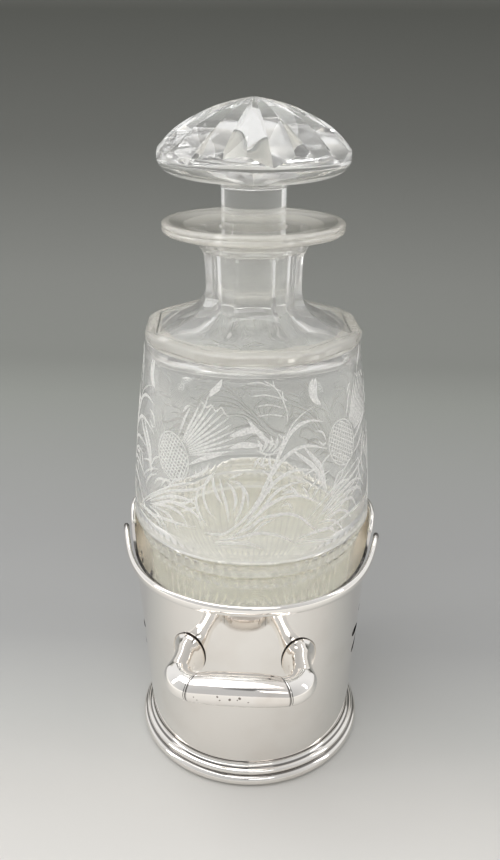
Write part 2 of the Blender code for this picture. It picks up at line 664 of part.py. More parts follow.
def make_bottle():
    """The decanter: turned inside and out, then cut flat at the neck, the shoulder and below."""
    base = FLOOR_THICKNESS + SEAT_GAP
    neck_round = NECK_FLAT_RADIUS / cos(pi / NECK_PANELS) + SEAT_GAP
    bottle = turned("decanter_bottle", hollow_points(base) + outside_points(neck_round, base), GLASS_STEPS)
    bottle.matrix_world = Matrix.Rotation(NECK_TURN, 4, "Z")
    boolean(bottle, make_neck_guard(), "INTERSECT")
    boolean(bottle, make_slice_guard(base), "INTERSECT")
    return place(bottle, CRYSTAL)


def add_groove_bar(shape, start, end, spin):
    """Adds a three-sided bar whose lower edge runs from start to end, turned by spin."""
    along = (end - start).normalized()
    up = Vector((-along.z, 0.0, along.x))
    side = up.cross(along)
    middle = (start + end) / 2
    bar = bmesh.ops.create_cone(shape, cap_ends=True, segments=3, radius1=MITRE_DEPTH,
                                radius2=MITRE_DEPTH, depth=(end - start).length)
    for vert in bar["verts"]:
        across, rise = 0.0, 0.0
        if vert.co.y < 0:
            across, rise = copysign(MITRE_DEPTH * tan(MITRE_HALF_ANGLE), vert.co.x), MITRE_DEPTH
        vert.co = spin @ (middle + along * vert.co.z + side * across + up * rise)


def make_stopper():
    """The mushroom stopper: a turned dome, stem and plug, with mitre cuts from the apex."""
    outline = [(DOME_RADIUS * out, between(DOME_EDGE_HEIGHT, STOPPER_HEIGHT, up)) for out, up in DOME_SHARES]
    outline += [(DOME_RADIUS * out, between(DOME_EDGE_HEIGHT, DOME_UNDER_HEIGHT, down))
                for out, down in UNDER_SHARES]
    plug = BORE_RADIUS - SEAT_GAP
    outline += [(plug, DOME_UNDER_HEIGHT - LIP_GROOVE), (plug, LIP_HEIGHT - LIP_DISH),
                (plug, PLUG_END_HEIGHT + LIP_GROOVE), (plug - LIP_GROOVE, PLUG_END_HEIGHT),
                (0.0, PLUG_END_HEIGHT)]
    stopper = turned("stopper", outline, DOME_STEPS)
    stopper.matrix_world = Matrix.Rotation(STOPPER_TURN, 4, "Z")

    start = Vector((MITRE_INNER_RADIUS, 0.0, STOPPER_HEIGHT))
    shape = bmesh.new()
    for i in range(MITRE_CUTS):
        tip_share = MITRE_TIP_SHARES[i % len(MITRE_TIP_SHARES)]
        tip = Vector((DOME_RADIUS, 0.0, between(DOME_EDGE_HEIGHT, STOPPER_HEIGHT, tip_share)))
        end = tip + (tip - start).normalized() * CUT_OVERRUN
        add_groove_bar(shape, start, end, Matrix.Rotation(2 * pi * (i + 0.5) / MITRE_CUTS - pi / 2, 4, "Z"))
    bmesh.ops.recalc_face_normals(shape, faces=shape.faces)
    mesh = bpy.data.meshes.new("cut_mitres")
    shape.to_mesh(mesh)
    shape.free()
    mitres = as_cutter(new_object("cut_mitres", mesh))
    mitres.matrix_world = stopper.matrix_world
    boolean(stopper, mitres).use_self = True
    return place(stopper, CRYSTAL)


make_stand_floor()
make_foot_moulding()
make_stand_wall()
make_rim_wires()
make_handle_arm("handle_arm_left", -1)
make_handle_arm("handle_arm_right", 1)
make_grip()
make_collar("grip_collar_left", -1)
make_collar("grip_collar_right", 1)
make_bottle()
make_stopper()
bpy.context.view_layer.update()
for piece in PARTS.objects:
    print(piece.name)
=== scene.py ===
# %% [markdown]
# # A cut glass decanter in a silver stand
#
# The CAD holds where everything is. This script gives each piece its finished surface: cut and
# engraved crystal, polished silver sheet and wire, and the studio that both of them mirror.
# The stand's axis is the Z axis and its handle points along -Y. Lengths are in millimetres in the
# tables below, and in metres in the meshes.

# %% Frame and names
from math import cos, pi, radians, sin, tan
import bpy
import numpy as np
from mathutils import Euler, Matrix, Vector
from mathutils.geometry import delaunay_2d_cdt


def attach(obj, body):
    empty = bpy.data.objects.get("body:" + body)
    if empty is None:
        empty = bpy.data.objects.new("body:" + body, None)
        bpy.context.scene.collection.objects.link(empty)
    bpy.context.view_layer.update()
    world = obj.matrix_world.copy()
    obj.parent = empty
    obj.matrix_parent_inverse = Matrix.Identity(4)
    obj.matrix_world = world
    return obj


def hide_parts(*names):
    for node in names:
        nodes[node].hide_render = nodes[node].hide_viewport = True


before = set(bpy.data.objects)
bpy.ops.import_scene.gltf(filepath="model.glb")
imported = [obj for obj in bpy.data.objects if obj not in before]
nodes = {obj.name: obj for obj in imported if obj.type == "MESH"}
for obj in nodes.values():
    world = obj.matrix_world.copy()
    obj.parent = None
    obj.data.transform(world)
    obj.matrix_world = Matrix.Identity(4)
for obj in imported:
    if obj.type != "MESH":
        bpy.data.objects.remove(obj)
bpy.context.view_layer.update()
print("CAD nodes:", sorted(nodes))

# %% [markdown]
# ## Small tools
#
# Glass is turned and cut, wire is bent, and sheet is rolled. So nearly every surface here is a stack
# of rows of points round an axis or along a path. Such a shape could be built from Blender's own
# curves and modifiers, but whole arrays keep every edge where it was measured. The first cells make
# curves and rows, and the next join rows into a closed mesh. A row may have half or twice as many points
# as its neighbour, or shrink to a pole.
#
# The mesh also keeps named values, such as how much painted shade and tarnish darken it, which a material can
# read.

# %% Curves
MM = 0.001


def spline(points, count):
    """A smooth curve through the points: Catmull-Rom, with its parameter by chord length."""
    p = np.asarray(points, float)
    t = np.concatenate([[0.0], np.cumsum(np.sqrt(np.linalg.norm(np.diff(p, axis=0), axis=1)))])
    slope = np.gradient(p, t, axis=0, edge_order=1)
    x = np.linspace(0.0, t[-1], count)
    i = np.clip(np.searchsorted(t, x, side="right") - 1, 0, len(t) - 2)
    h = (t[i + 1] - t[i])[:, None]
    u = ((x - t[i]) / (t[i + 1] - t[i]))[:, None]
    return ((2 * u**3 - 3 * u**2 + 1) * p[i] + (u**3 - 2 * u**2 + u) * h * slope[i]
            + (3 * u**2 - 2 * u**3) * p[i + 1] + (u**3 - u**2) * h * slope[i + 1])


def lines(points, steps):
    """Straight runs between the points, each cut into so many steps."""
    p = np.asarray(points, float)
    runs = [p[k] + (p[k + 1] - p[k]) * np.arange(steps)[:, None] / steps for k in range(len(p) - 1)]
    return np.concatenate(runs + [p[-1:]])


def arc(x, y, radius, start, end, count):
    """Points on a circle in the plane of the profile, with its angles in degrees."""
    a = np.radians(np.linspace(start, end, count))
    return np.stack([x + radius * np.cos(a), y + radius * np.sin(a)], 1)


print("a curve through 3 points:", spline([(0, 0), (1, 1), (2, 0)], 5)[:, 1].round(2).tolist())


# %% Rows of points
def angles_of(count):
    """Evenly spaced angles round a circle, the first towards the handle."""
    return 2 * pi * np.arange(count) / count


def ease(share):
    """A step from 0 to 1 that starts and ends level."""
    x = np.clip(share, 0.0, 1.0)
    return x**2 * (3 - 2 * x)


def turned_rows(radius, height, count, turn=0.0):
    """Rows round the vertical axis. The radius may be one value a row, or a table of row by angle."""
    a = angles_of(count) + turn
    r = np.broadcast_to(np.asarray(radius, float).reshape(len(height), -1), (len(height), count))
    z = np.broadcast_to(np.asarray(height, float).reshape(len(height), -1), (len(height), count))
    return np.stack([r * np.sin(a), -r * np.cos(a), z], 2)


def as_rows(grid):
    """A table of rows as a list, with a row on the axis shrunk to its pole."""
    return [row[:1] if np.ptp(row, axis=0).max() < 1e-9 else row for row in grid]


print("a circle of 8 points:", np.round(turned_rows([1.0], [0.0], 8)[0, :, :2], 2).tolist())


# %% Faces between two rows
def join_rows(first, second, start_first, start_second):
    """Faces between two rows: quads where they match, and triangles at a pole or a halving."""
    n, m = len(first), len(second)
    i = np.arange(max(n, m) if min(n, m) == 1 else min(n, m))
    j = (i + 1) % len(i)
    if n == m:
        quads = np.stack([start_first + i, start_first + j, start_second + j, start_second + i], 1)
        return quads, np.empty((0, 3), int)
    if n == 1:
        return np.empty((0, 4), int), np.stack([start_first + 0 * i, start_second + j, start_second + i], 1)
    if m == 1:
        return np.empty((0, 4), int), np.stack([start_first + i, start_first + j, start_second + 0 * i], 1)
    coarse, fine = (start_first, start_second) if n < m else (start_second, start_first)
    near, middle, far = fine + 2 * i, fine + 2 * i + 1, fine + (2 * i + 2) % (2 * len(i))
    faces = np.concatenate([np.stack([coarse + i, coarse + j, middle], 1),
                            np.stack([coarse + i, middle, near], 1),
                            np.stack([coarse + j, far, middle], 1)])
    return np.empty((0, 4), int), faces if n < m else faces[:, ::-1]


ring_of_8, ring_of_4, pole = np.zeros((8, 3)), np.zeros((4, 3)), np.zeros((1, 3))
print("quads and triangles between two rows of 8, 8 and 4, and 8 and a pole:",
      [[len(f) for f in join_rows(ring_of_8, other, 0, 8)] for other in (ring_of_8, ring_of_4, pole)])


# %% A mesh from whole arrays
def mesh_object(name, points, quads, triangles, sharp=35.0, **fields):
    """An object from whole arrays. Its faces are turned outwards by the sign of its volume.

    A field is a named value of each point, or else of each face, such as how much painted shade and tarnish
    darken it."""
    corners = np.concatenate([triangles, quads[:, [0, 1, 2]], quads[:, [0, 2, 3]]]).astype(int)
    a, b, c = points[corners[:, 0]], points[corners[:, 1]], points[corners[:, 2]]
    if np.einsum("ij,ij->i", a, np.cross(b, c)).sum() < 0:
        quads, triangles = quads[:, ::-1], triangles[:, ::-1]
    mesh = bpy.data.meshes.new(name)
    loops = np.concatenate([quads.ravel(), triangles.ravel()]).astype(np.int32)
    starts = np.concatenate([4 * np.arange(len(quads)), 4 * len(quads) + 3 * np.arange(len(triangles))])
    mesh.vertices.add(len(points))
    mesh.vertices.foreach_set("co", points.astype(np.float32).ravel())
    mesh.loops.add(len(loops))
    mesh.loops.foreach_set("vertex_index", loops)
    mesh.polygons.add(len(starts))
    mesh.polygons.foreach_set("loop_start", starts.astype(np.int32))
    mesh.update(calc_edges=True)
    for word, values in fields.items():
        field = mesh.attributes.new(word, "FLOAT", "POINT" if len(values) == len(points) else "FACE")
        field.data.foreach_set("value", values.astype(np.float32))
    mesh.shade_smooth()
    mesh.set_sharp_from_angle(angle=radians(sharp))
    item = bpy.data.objects.new(name, mesh)
    bpy.context.scene.collection.objects.link(item)
    print(name, len(mesh.vertices), "points,", len(quads) * 2 + len(triangles), "triangles")
    return item


def rows_object(name, rows, ring=False, sharp=35.0, **fields):
    """A closed mesh through a list of rows in millimetres, with fields that hold one value a row.

    With ring, the last row meets the first."""
    starts = np.concatenate([[0], np.cumsum([len(row) for row in rows])])
    pairs = [(k, k + 1) for k in range(len(rows) - 1)] + ([(len(rows) - 1, 0)] if ring else [])
    found = [join_rows(rows[k], rows[m], starts[k], starts[m]) for k, m in pairs]
    quads = np.concatenate([f[0] for f in found])
    triangles = np.concatenate([f[1] for f in found])
    fields = {word: np.repeat(values, [len(row) for row in rows]) for word, values in fields.items()}
    return mesh_object(name, np.concatenate(rows) * MM, quads, triangles, sharp, **fields)


print("mesh tools ready, lengths times", MM)

# %% [markdown]
# ## Colours and nodes
#
# Colours are written as the sRGB values that a picker reads, and one function turns them to linear
# light. One more adds a node with its settings and links, so that each material reads as a short
# list. A pattern's scale is worked out from the size of its cells in millimetres.

# %% Node helpers
def hex_colour(text):
    """The linear colour of an sRGB hex value."""
    value = np.array([int(text[k:k + 2], 16) for k in (1, 3, 5)]) / 255
    linear = np.where(value <= 0.04045, value / 12.92, ((value + 0.055) / 1.055) ** 2.4)
    return (*linear, 1.0)


def add_node(tree, kind, values=(), **settings):
    """A node with its settings, and its inputs as (name or index, value or socket) pairs."""
    node = tree.nodes.new(kind)
    for key, value in settings.items():
        setattr(node, key, value)
    for key, value in values:
        if isinstance(value, bpy.types.NodeSocket):
            tree.links.new(value, node.inputs[key])
        else:
            node.inputs[key].default_value = value
    return node


def new_material(name):
    """An empty node material with its output node."""
    material = bpy.data.materials.new(name)
    material.use_nodes = True
    tree = material.node_tree
    tree.nodes.clear()
    return material, tree, add_node(tree, "ShaderNodeOutputMaterial")


def cells(size):
    """The scale of a pattern in object coordinates whose cells have this size in millimetres."""
    return 1.0 / (size * MM)


def set_ramp(node, stops):
    """Fills a colour ramp with (position, colour) stops."""
    elements = node.color_ramp.elements
    while len(elements) > 1:
        elements.remove(elements[-1])
    elements[0].position, elements[0].color = stops[0]
    for position, colour in stops[1:]:
        elements.new(position).color = colour


print("middle grey #808080 is", round(float(hex_colour("#808080")[0]), 3), "in linear light")

# %% [markdown]
# ## Silver
#
# Old silver is rolled or cast, polished bright, and rubbed for a hundred years. It is a metal with a
# warm, slightly pink colour. Its roughness drifts in soft clouds, and fine lines run the way that a
# cloth goes. A flat metal would look like chrome, and an image would not fit at every distance, so
# the clouds and lines are noise in object coordinates. Two values of the mesh change the surface:
# one paints near-black shade into the crevices, seams and grooves, with the tarnish that gathers
# where no cloth reaches, and matt marks the inside of the stand, where the skin is paler and softer.
# The grip has pits where it has worn most.

# %% Silver: sheet, wire and worn grip
# Sizes of the patterns' cells in millimetres
CLOUD, HAIR_WIDE, HAIR_LONG, PIT_SPACING, PIT_PATCH = 50 / 3, 10 / 9, 100 / 9, 50 / 21, 20 / 3
# The first colour is the near black of painted shade in crevices, seams and grooves, with some tarnish.
SHADE_AND_TARNISH_COLOUR, TARNISH_COLOUR, PIT_COLOUR, INSIDE_COLOUR = "#241d18", "#b79f86", "#4a3a30", "#fefdfb"
INSIDE_ROUGHNESS = 0.12


def silver(name, colour, rough, tarnish=0.0, pits=0.0):
    """Polished silver: cloudy roughness, hairline polishing marks, a little tarnish and pitting, and painted
    shade in crevices.
    """
    material, tree, output = new_material(name)
    place = add_node(tree, "ShaderNodeTexCoord").outputs["Object"]
    clouds = add_node(tree, "ShaderNodeTexNoise", [
        ("Vector", place), ("Scale", cells(CLOUD)), ("Detail", 4.0)])
    stretch = (cells(HAIR_WIDE), cells(HAIR_WIDE), cells(HAIR_LONG))
    fine = add_node(tree, "ShaderNodeMapping", [("Vector", place), ("Scale", stretch)])
    hairs = add_node(tree, "ShaderNodeTexNoise", [
        ("Vector", fine.outputs[0]), ("Scale", 1.0), ("Detail", 3.0)])
    gloss = add_node(tree, "ShaderNodeMapRange", [
        ("Value", clouds.outputs["Fac"]), ("From Min", 0.3), ("From Max", 0.7),
        ("To Min", rough * 0.7), ("To Max", rough * 1.5)])
    stain = add_node(tree, "ShaderNodeMapRange", [
        ("Value", clouds.outputs["Fac"]), ("From Min", 0.5), ("From Max", 0.75),
        ("To Min", 0.0), ("To Max", tarnish)])
    base = add_node(tree, "ShaderNodeMix", [
        ("Factor", stain.outputs[0]), ("A", hex_colour(colour)), ("B", hex_colour(TARNISH_COLOUR))],
        data_type="RGBA").outputs["Result"]
    if pits:
        dots = add_node(tree, "ShaderNodeTexVoronoi", [("Vector", place), ("Scale", cells(PIT_SPACING))])
        rare = add_node(tree, "ShaderNodeTexNoise", [("Vector", place), ("Scale", cells(PIT_PATCH))])
        size = add_node(tree, "ShaderNodeMapRange", [
            ("Value", rare.outputs["Fac"]), ("From Min", 0.56), ("From Max", 0.7),
            ("To Min", 0.0), ("To Max", 0.36)])
        pit = add_node(tree, "ShaderNodeMath", [(0, dots.outputs["Distance"]), (1, size.outputs[0])],
                       operation="LESS_THAN")
        share = add_node(tree, "ShaderNodeMath", [(0, pit.outputs[0]), (1, pits)], operation="MULTIPLY")
        base = add_node(tree, "ShaderNodeMix", [
            ("Factor", share.outputs[0]), ("A", base), ("B", hex_colour(PIT_COLOUR))],
            data_type="RGBA").outputs["Result"]
    # Painted shade: a value of the mesh mixes the colour towards near black in crevices and grooves, for
    # their shade and some tarnish.
    grime = add_node(tree, "ShaderNodeAttribute", attribute_name="grime").outputs["Fac"]
    base = add_node(tree, "ShaderNodeMix", [
        ("Factor", grime), ("A", base), ("B", hex_colour(SHADE_AND_TARNISH_COLOUR))], data_type="RGBA").outputs["Result"]
    matt = add_node(tree, "ShaderNodeAttribute", attribute_name="matt").outputs["Fac"]
    base = add_node(tree, "ShaderNodeMix", [
        ("Factor", matt), ("A", base), ("B", hex_colour(INSIDE_COLOUR))], data_type="RGBA").outputs["Result"]
    rough = add_node(tree, "ShaderNodeMix", [
        ("Factor", matt), ("A", gloss.outputs[0]), ("B", INSIDE_ROUGHNESS)])
    bump = add_node(tree, "ShaderNodeBump", [
        ("Strength", 0.05), ("Distance", 0.00002), ("Height", hairs.outputs["Fac"])])
    shader = add_node(tree, "ShaderNodeBsdfPrincipled", [
        ("Base Color", base), ("Metallic", 1.0), ("Roughness", rough.outputs[0]),
        ("Normal", bump.outputs[0])])
    tree.links.new(shader.outputs[0], output.inputs["Surface"])
    return material


SILVER = silver("polished_silver_sheet", "#f4f1ed", 0.07, tarnish=0.10)
BRIGHT = silver("bright_silver_wire", "#f8f5f1", 0.05, tarnish=0.05)
WORN = silver("worn_silver_grip", "#f6f2ee", 0.08, tarnish=0.25, pits=0.8)
print("silver:", [m.name for m in (SILVER, BRIGHT, WORN)])

# %% [markdown]
# ## Crystal
#
# Lead crystal bends light more than window glass does, so its index is 1.55. Polishing leaves a faint
# ripple. Glass that has stood in use is clear inside, and a little milky outside from washing and
# handling. A second shell of dirt could show this. Here a small share of the shader is white
# instead, which costs no surface: least on the stopper, more on the body, most on the lip and ring.

# %% Crystal: clear, polished, milky and rubbed
# Size of a ripple in millimetres, and how much lead glass bends light
RIPPLE, LEAD_GLASS_INDEX = 100 / 7, 1.55


def crystal(name, clear, colour="#fefefc"):
    """Lead crystal with the faint ripple of polished glass, clear or slightly milky with age."""
    material, tree, output = new_material(name)
    place = add_node(tree, "ShaderNodeTexCoord").outputs["Object"]
    ripple = add_node(tree, "ShaderNodeTexNoise", [
        ("Vector", place), ("Scale", cells(RIPPLE)), ("Detail", 2.0)])
    bump = add_node(tree, "ShaderNodeBump", [
        ("Strength", 0.12), ("Distance", 0.0004), ("Height", ripple.outputs["Fac"])])
    shader = add_node(tree, "ShaderNodeBsdfPrincipled", [
        ("Base Color", hex_colour(colour)), ("Roughness", 0.0), ("IOR", LEAD_GLASS_INDEX),
        ("Transmission Weight", clear), ("Normal", bump.outputs[0])])
    tree.links.new(shader.outputs[0], output.inputs["Surface"])
    return material


CRYSTAL = crystal("lead_crystal", 1.0)
POLISHED = crystal("polished_stopper_crystal", 0.92)
BLOOMED = crystal("bloomed_lead_crystal", 0.78)
RUBBED = crystal("rubbed_lead_crystal", 0.68, "#fffcf4")
print("crystal:", [m.name for m in (CRYSTAL, POLISHED, BLOOMED, RUBBED)])

# %% [markdown]
# ## Ground glass
#
# The engraver's copper wheel leaves a ground surface that scatters light, so its marks look white and
# soft. Rough glass would do this too, but slowly and with noise. So the marks are a thin white skin
# that lights up from both sides, a little glossy, and half see-through in its fine grain.

# %% Ground marks
# Size of the grain in millimetres
GRIND = 2 / 3


def engraving(name):
    """Wheel-engraved marks: a matt white skin, half see-through, with a fine grain."""
    material, tree, output = new_material(name)
    place = add_node(tree, "ShaderNodeTexCoord").outputs["Object"]
    grain = add_node(tree, "ShaderNodeTexNoise", [
        ("Vector", place), ("Scale", cells(GRIND)), ("Detail", 2.0)])
    cover = add_node(tree, "ShaderNodeMapRange", [
        ("Value", grain.outputs["Fac"]), ("From Min", 0.35), ("From Max", 0.65),
        ("To Min", 0.65), ("To Max", 0.95)])
    front = add_node(tree, "ShaderNodeBsdfDiffuse", [("Color", hex_colour("#fffefb"))])
    back = add_node(tree, "ShaderNodeBsdfTranslucent", [("Color", hex_colour("#fffefb"))])
    gloss = add_node(tree, "ShaderNodeBsdfGlossy", [("Color", hex_colour("#ffffff")), ("Roughness", 0.25)])
    clear = add_node(tree, "ShaderNodeBsdfTransparent")
    skin = add_node(tree, "ShaderNodeMixShader", [(0, 0.3), (1, front.outputs[0]), (2, back.outputs[0])])
    skin = add_node(tree, "ShaderNodeMixShader", [(0, 0.12), (1, skin.outputs[0]), (2, gloss.outputs[0])])
    mixed = add_node(tree, "ShaderNodeMixShader", [
        (0, cover.outputs[0]), (1, clear.outputs[0]), (2, skin.outputs[0])])
    tree.links.new(mixed.outputs[0], output.inputs["Surface"])
    return material


ENGRAVED = engraving("wheel_engraving")
print("ground marks:", ENGRAVED.name)

# %% [markdown]
# ## Studio paper
#
# The photographer's paper runs from in front of the stand to a wall far behind. Its colour follows
# the way along it and holds painted light and shade: pale in front, middle grey behind the stand and
# darker towards the top of the picture, as the studio light falls off. Past the picture's edges, above
# and at both sides, it turns white, so the silver and the glass mirror a bright room there and other
# views end softly.

# %% Sweep
# Colours along the way: painted light and shade, pale on the floor in front and darker up the wall.
SWEEP_PAINTED_SHADING = ((-1000.0, "#f6f4f0"), (-140.0, "#dfddd9"), (-56.0, "#ceccc8"), (-10.0, "#bdbdba"),
         (48.0, "#a7a7a6"), (150.0, "#a1a1a0"), (394.0, "#9ea09b"), (650.0, "#8e8f8b"),
         (953.0, "#5c5d59"), (1370.0, "#f6f4f0"))
SWEEP_FRONT, SWEEP_FLOOR, SWEEP_BEND, SWEEP_TOP, SWEEP_WIDE = -1000.0, 500.0, 200.0, 760.0, 900.0
WHITE_FROM, WHITE_SPREAD, WHITE_OVER, WHITE_PAPER = 190.0, 0.8, 240.0, "#f6f4f0"
PAPER_GRAIN = 10 / 7


def make_sweep():
    """A flat floor that curves up into a low wall, with the way along it as a value of its points."""
    bend_end = SWEEP_FLOOR + SWEEP_BEND * pi / 2
    along = np.concatenate([np.linspace(SWEEP_FRONT, SWEEP_FLOOR, 90),
                            np.linspace(SWEEP_FLOOR, bend_end, 40)[1:],
                            np.linspace(bend_end, bend_end + SWEEP_TOP - SWEEP_BEND, 40)[1:]])
    turn = np.clip((along - SWEEP_FLOOR) / SWEEP_BEND, 0.0, pi / 2)
    y = np.minimum(along, SWEEP_FLOOR) + SWEEP_BEND * np.sin(turn)
    z = SWEEP_BEND * (1 - np.cos(turn)) + np.maximum(along - bend_end, 0.0)
    x = np.linspace(-SWEEP_WIDE, SWEEP_WIDE, 181)
    n = len(x)
    points = np.stack([np.tile(x, len(y)), np.repeat(y, n), np.repeat(z, n)], 1) * MM
    k = (n * np.arange(len(y) - 1)[:, None] + np.arange(n - 1)).ravel()
    mesh = bpy.data.meshes.new("studio_sweep")
    mesh.from_pydata(points.tolist(), [], np.stack([k, k + 1, k + n + 1, k + n], 1).tolist())
    mesh.shade_smooth()
    way = mesh.attributes.new("way", "FLOAT", "POINT")
    way.data.foreach_set("value", np.repeat(along, len(x)).astype(np.float32))
    aside = mesh.attributes.new("aside", "FLOAT", "POINT")
    past = np.abs(points[:, 0]) / MM - WHITE_FROM - WHITE_SPREAD * np.maximum(points[:, 1] / MM, 0.0)
    aside.data.foreach_set("value", ease(past / WHITE_OVER).astype(np.float32))
    item = bpy.data.objects.new("studio_sweep", mesh)
    bpy.context.scene.collection.objects.link(item)
    print("paper:", len(mesh.vertices), "points")
    return mesh


sweep = make_sweep()


# %% Paper
def sweep_paper():
    """Matt paper whose colour follows the way along the sweep, with painted light and shade, and turns white
    at both sides.
    """
    material, tree, output = new_material("studio_paper_painted_shading")
    value = add_node(tree, "ShaderNodeAttribute", attribute_name="way").outputs["Fac"]
    low, high = SWEEP_PAINTED_SHADING[0][0], SWEEP_PAINTED_SHADING[-1][0]
    share = add_node(tree, "ShaderNodeMapRange", [("Value", value), ("From Min", low), ("From Max", high)])
    ramp = add_node(tree, "ShaderNodeValToRGB", [("Fac", share.outputs[0])])
    set_ramp(ramp, [((p - low) / (high - low), hex_colour(c)) for p, c in SWEEP_PAINTED_SHADING])
    place = add_node(tree, "ShaderNodeTexCoord").outputs["Object"]
    grain = add_node(tree, "ShaderNodeTexNoise", [
        ("Vector", place), ("Scale", cells(PAPER_GRAIN)), ("Detail", 3.0)])
    bump = add_node(tree, "ShaderNodeBump", [
        ("Strength", 0.1), ("Distance", 0.0002), ("Height", grain.outputs["Fac"])])
    aside = add_node(tree, "ShaderNodeAttribute", attribute_name="aside").outputs["Fac"]
    paper = add_node(tree, "ShaderNodeMix", [
        ("Factor", aside), ("A", ramp.outputs["Color"]), ("B", hex_colour(WHITE_PAPER))], data_type="RGBA")
    shader = add_node(tree, "ShaderNodeBsdfPrincipled", [
        ("Base Color", paper.outputs["Result"]), ("Roughness", 0.85),
        ("Specular IOR Level", 0.1), ("Normal", bump.outputs[0])])
    tree.links.new(shader.outputs[0], output.inputs["Surface"])
    return material


sweep.materials.append(sweep_paper())
print("paper colours along the way:", len(SWEEP_PAINTED_SHADING))

# %% [markdown]
# ## Lamps and air
#
# Glass and silver show the room more than they show themselves. A large lamp above gives soft
# highlights, and narrow ones at the sides draw the edges of the glass. The room is white, since
# crystal needs something bright to bend. On the camera's side it is dimmer, with a soft dark patch
# above the camera, which gives the grip and the wires their grey streaks.

# %% Lamps
def add_area(name, place, aim, size, power):
    """A soft rectangular light that faces its aim point. Places are in metres."""
    light = bpy.data.lights.new(name, "AREA")
    light.shape = "RECTANGLE"
    light.size, light.size_y = size
    light.energy = power
    item = bpy.data.objects.new(name, light)
    item.location = place
    item.rotation_euler = (Vector(aim) - Vector(place)).to_track_quat("-Z", "Y").to_euler()
    bpy.context.scene.collection.objects.link(item)


add_area("top_softbox", (-0.25, -0.25, 1.0), (0.0, 0.0, 0.1), (1.0, 0.6), 4.4)
add_area("left_softbox", (-0.95, -0.25, 0.5), (0.0, 0.0, 0.12), (0.14, 0.7), 1.2)
add_area("right_softbox", (0.95, -0.20, 0.5), (0.0, 0.0, 0.12), (0.1, 0.7), 0.8)
add_area("front_softbox", (0.3, -1.1, 0.8), (0.0, 0.0, 0.1), (0.5, 0.25), 0.8)
print("lamps:", [light.name for light in bpy.data.lights])

# %% Air
ROOM_FRONT, ROOM_BACK, ROOM_COLOUR = 0.62, 0.97, "#f5f5f5"
PATCH_WAY, PATCH_LEVEL, PATCH_EDGE, PATCH_CORE = (0.04, -0.76, 0.65), 0.25, 0.984, 0.997


def make_air():
    """The bright room, dimmer on the camera's side, with a soft dark patch above the camera."""
    world = bpy.data.worlds.new("studio_air")
    world.use_nodes = True
    bpy.context.scene.world = world
    tree = world.node_tree
    way = add_node(tree, "ShaderNodeTexCoord").outputs["Generated"]
    parts = add_node(tree, "ShaderNodeSeparateXYZ", [(0, way)])
    room = add_node(tree, "ShaderNodeMapRange", [
        ("Value", parts.outputs["Y"]), ("From Min", -0.9), ("From Max", 0.3),
        ("To Min", ROOM_FRONT), ("To Max", ROOM_BACK)])
    near = add_node(tree, "ShaderNodeVectorMath", [(0, way), (1, PATCH_WAY)], operation="DOT_PRODUCT")
    patch = add_node(tree, "ShaderNodeMapRange", [
        ("Value", near.outputs["Value"]), ("From Min", PATCH_EDGE), ("From Max", PATCH_CORE),
        ("To Min", 1.0), ("To Max", PATCH_LEVEL)])
    level = add_node(tree, "ShaderNodeMath", [(0, room.outputs[0]), (1, patch.outputs[0])],
                     operation="MULTIPLY")
    background = tree.nodes["Background"]
    background.inputs["Color"].default_value = hex_colour(ROOM_COLOUR)
    tree.links.new(level.outputs[0], background.inputs["Strength"])
    print("room:", ROOM_FRONT, "in front,", ROOM_BACK, "behind")


make_air()

# %% [markdown]
# ## Camera
#
# The camera's distance, height, tilt and lens were solved from the ellipses that the lip, the ring
# and the foot make in the photograph. Light crosses thick glass and the silver behind it many times
# before it comes out, so the paths may be long: with few bounces the inside of the stand is dark.

# %% Camera and light paths
CAMERA_TURN, CAMERA_TILT, CAMERA_ROLL = 3.4, 23.75, 0.45
CAMERA_OUT, CAMERA_HEIGHT, CAMERA_LENS, CAMERA_SHIFT = 304.6, 277.2, 34.13, -2.0 / 860
camera = bpy.data.cameras.new("photo_camera")
camera.lens, camera.sensor_width = CAMERA_LENS, 36.0
camera.shift_x = CAMERA_SHIFT
camera.clip_start = 0.01
eye = bpy.data.objects.new("photo_camera", camera)
way_round = radians(CAMERA_TURN)
eye.location = (CAMERA_OUT * MM * sin(way_round), -CAMERA_OUT * MM * cos(way_round), CAMERA_HEIGHT * MM)
eye.rotation_euler = (Euler((radians(90 - CAMERA_TILT), 0.0, way_round)).to_matrix()
                      @ Matrix.Rotation(radians(CAMERA_ROLL), 3, "Z")).to_euler()
scene = bpy.context.scene
scene.collection.objects.link(eye)
scene.camera = eye
scene.view_settings.view_transform = "Standard"
scene.cycles.max_bounces = 72
scene.cycles.transmission_bounces = 72
scene.cycles.glossy_bounces = 40
print("camera at", [round(v, 4) for v in eye.location])

# %% [markdown]
# ## Handing a piece over
#
# Each visible piece rides one body of the part, so that it moves with it. It also takes its finish as
# its material, and hides the CAD pieces that it stands for.


def finish_piece(item, material, body, *stands_for):
    """Gives a piece its material and its body, and hides the CAD nodes that it stands for."""
    item.data.materials.append(material)
    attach(item, body)
    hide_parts(*stands_for)


# %% [markdown]
# ## Wall of the stand
#
# The wall is one sheet of silver, a slightly tapered tube that flares at the top. Its top edge is low
# in front and rises in three lobes behind, and a flower is pierced on either side. A tube cut with
# Booleans would have long thin faces that show in a mirror finish. So the flat pattern, with the holes
# in it, is cut into even triangles and then rolled up, as a silversmith does it. The sawn edges are
# painted dark: painted shade that darkens the holes, with some old polish, and the inside has the
# paler finish.

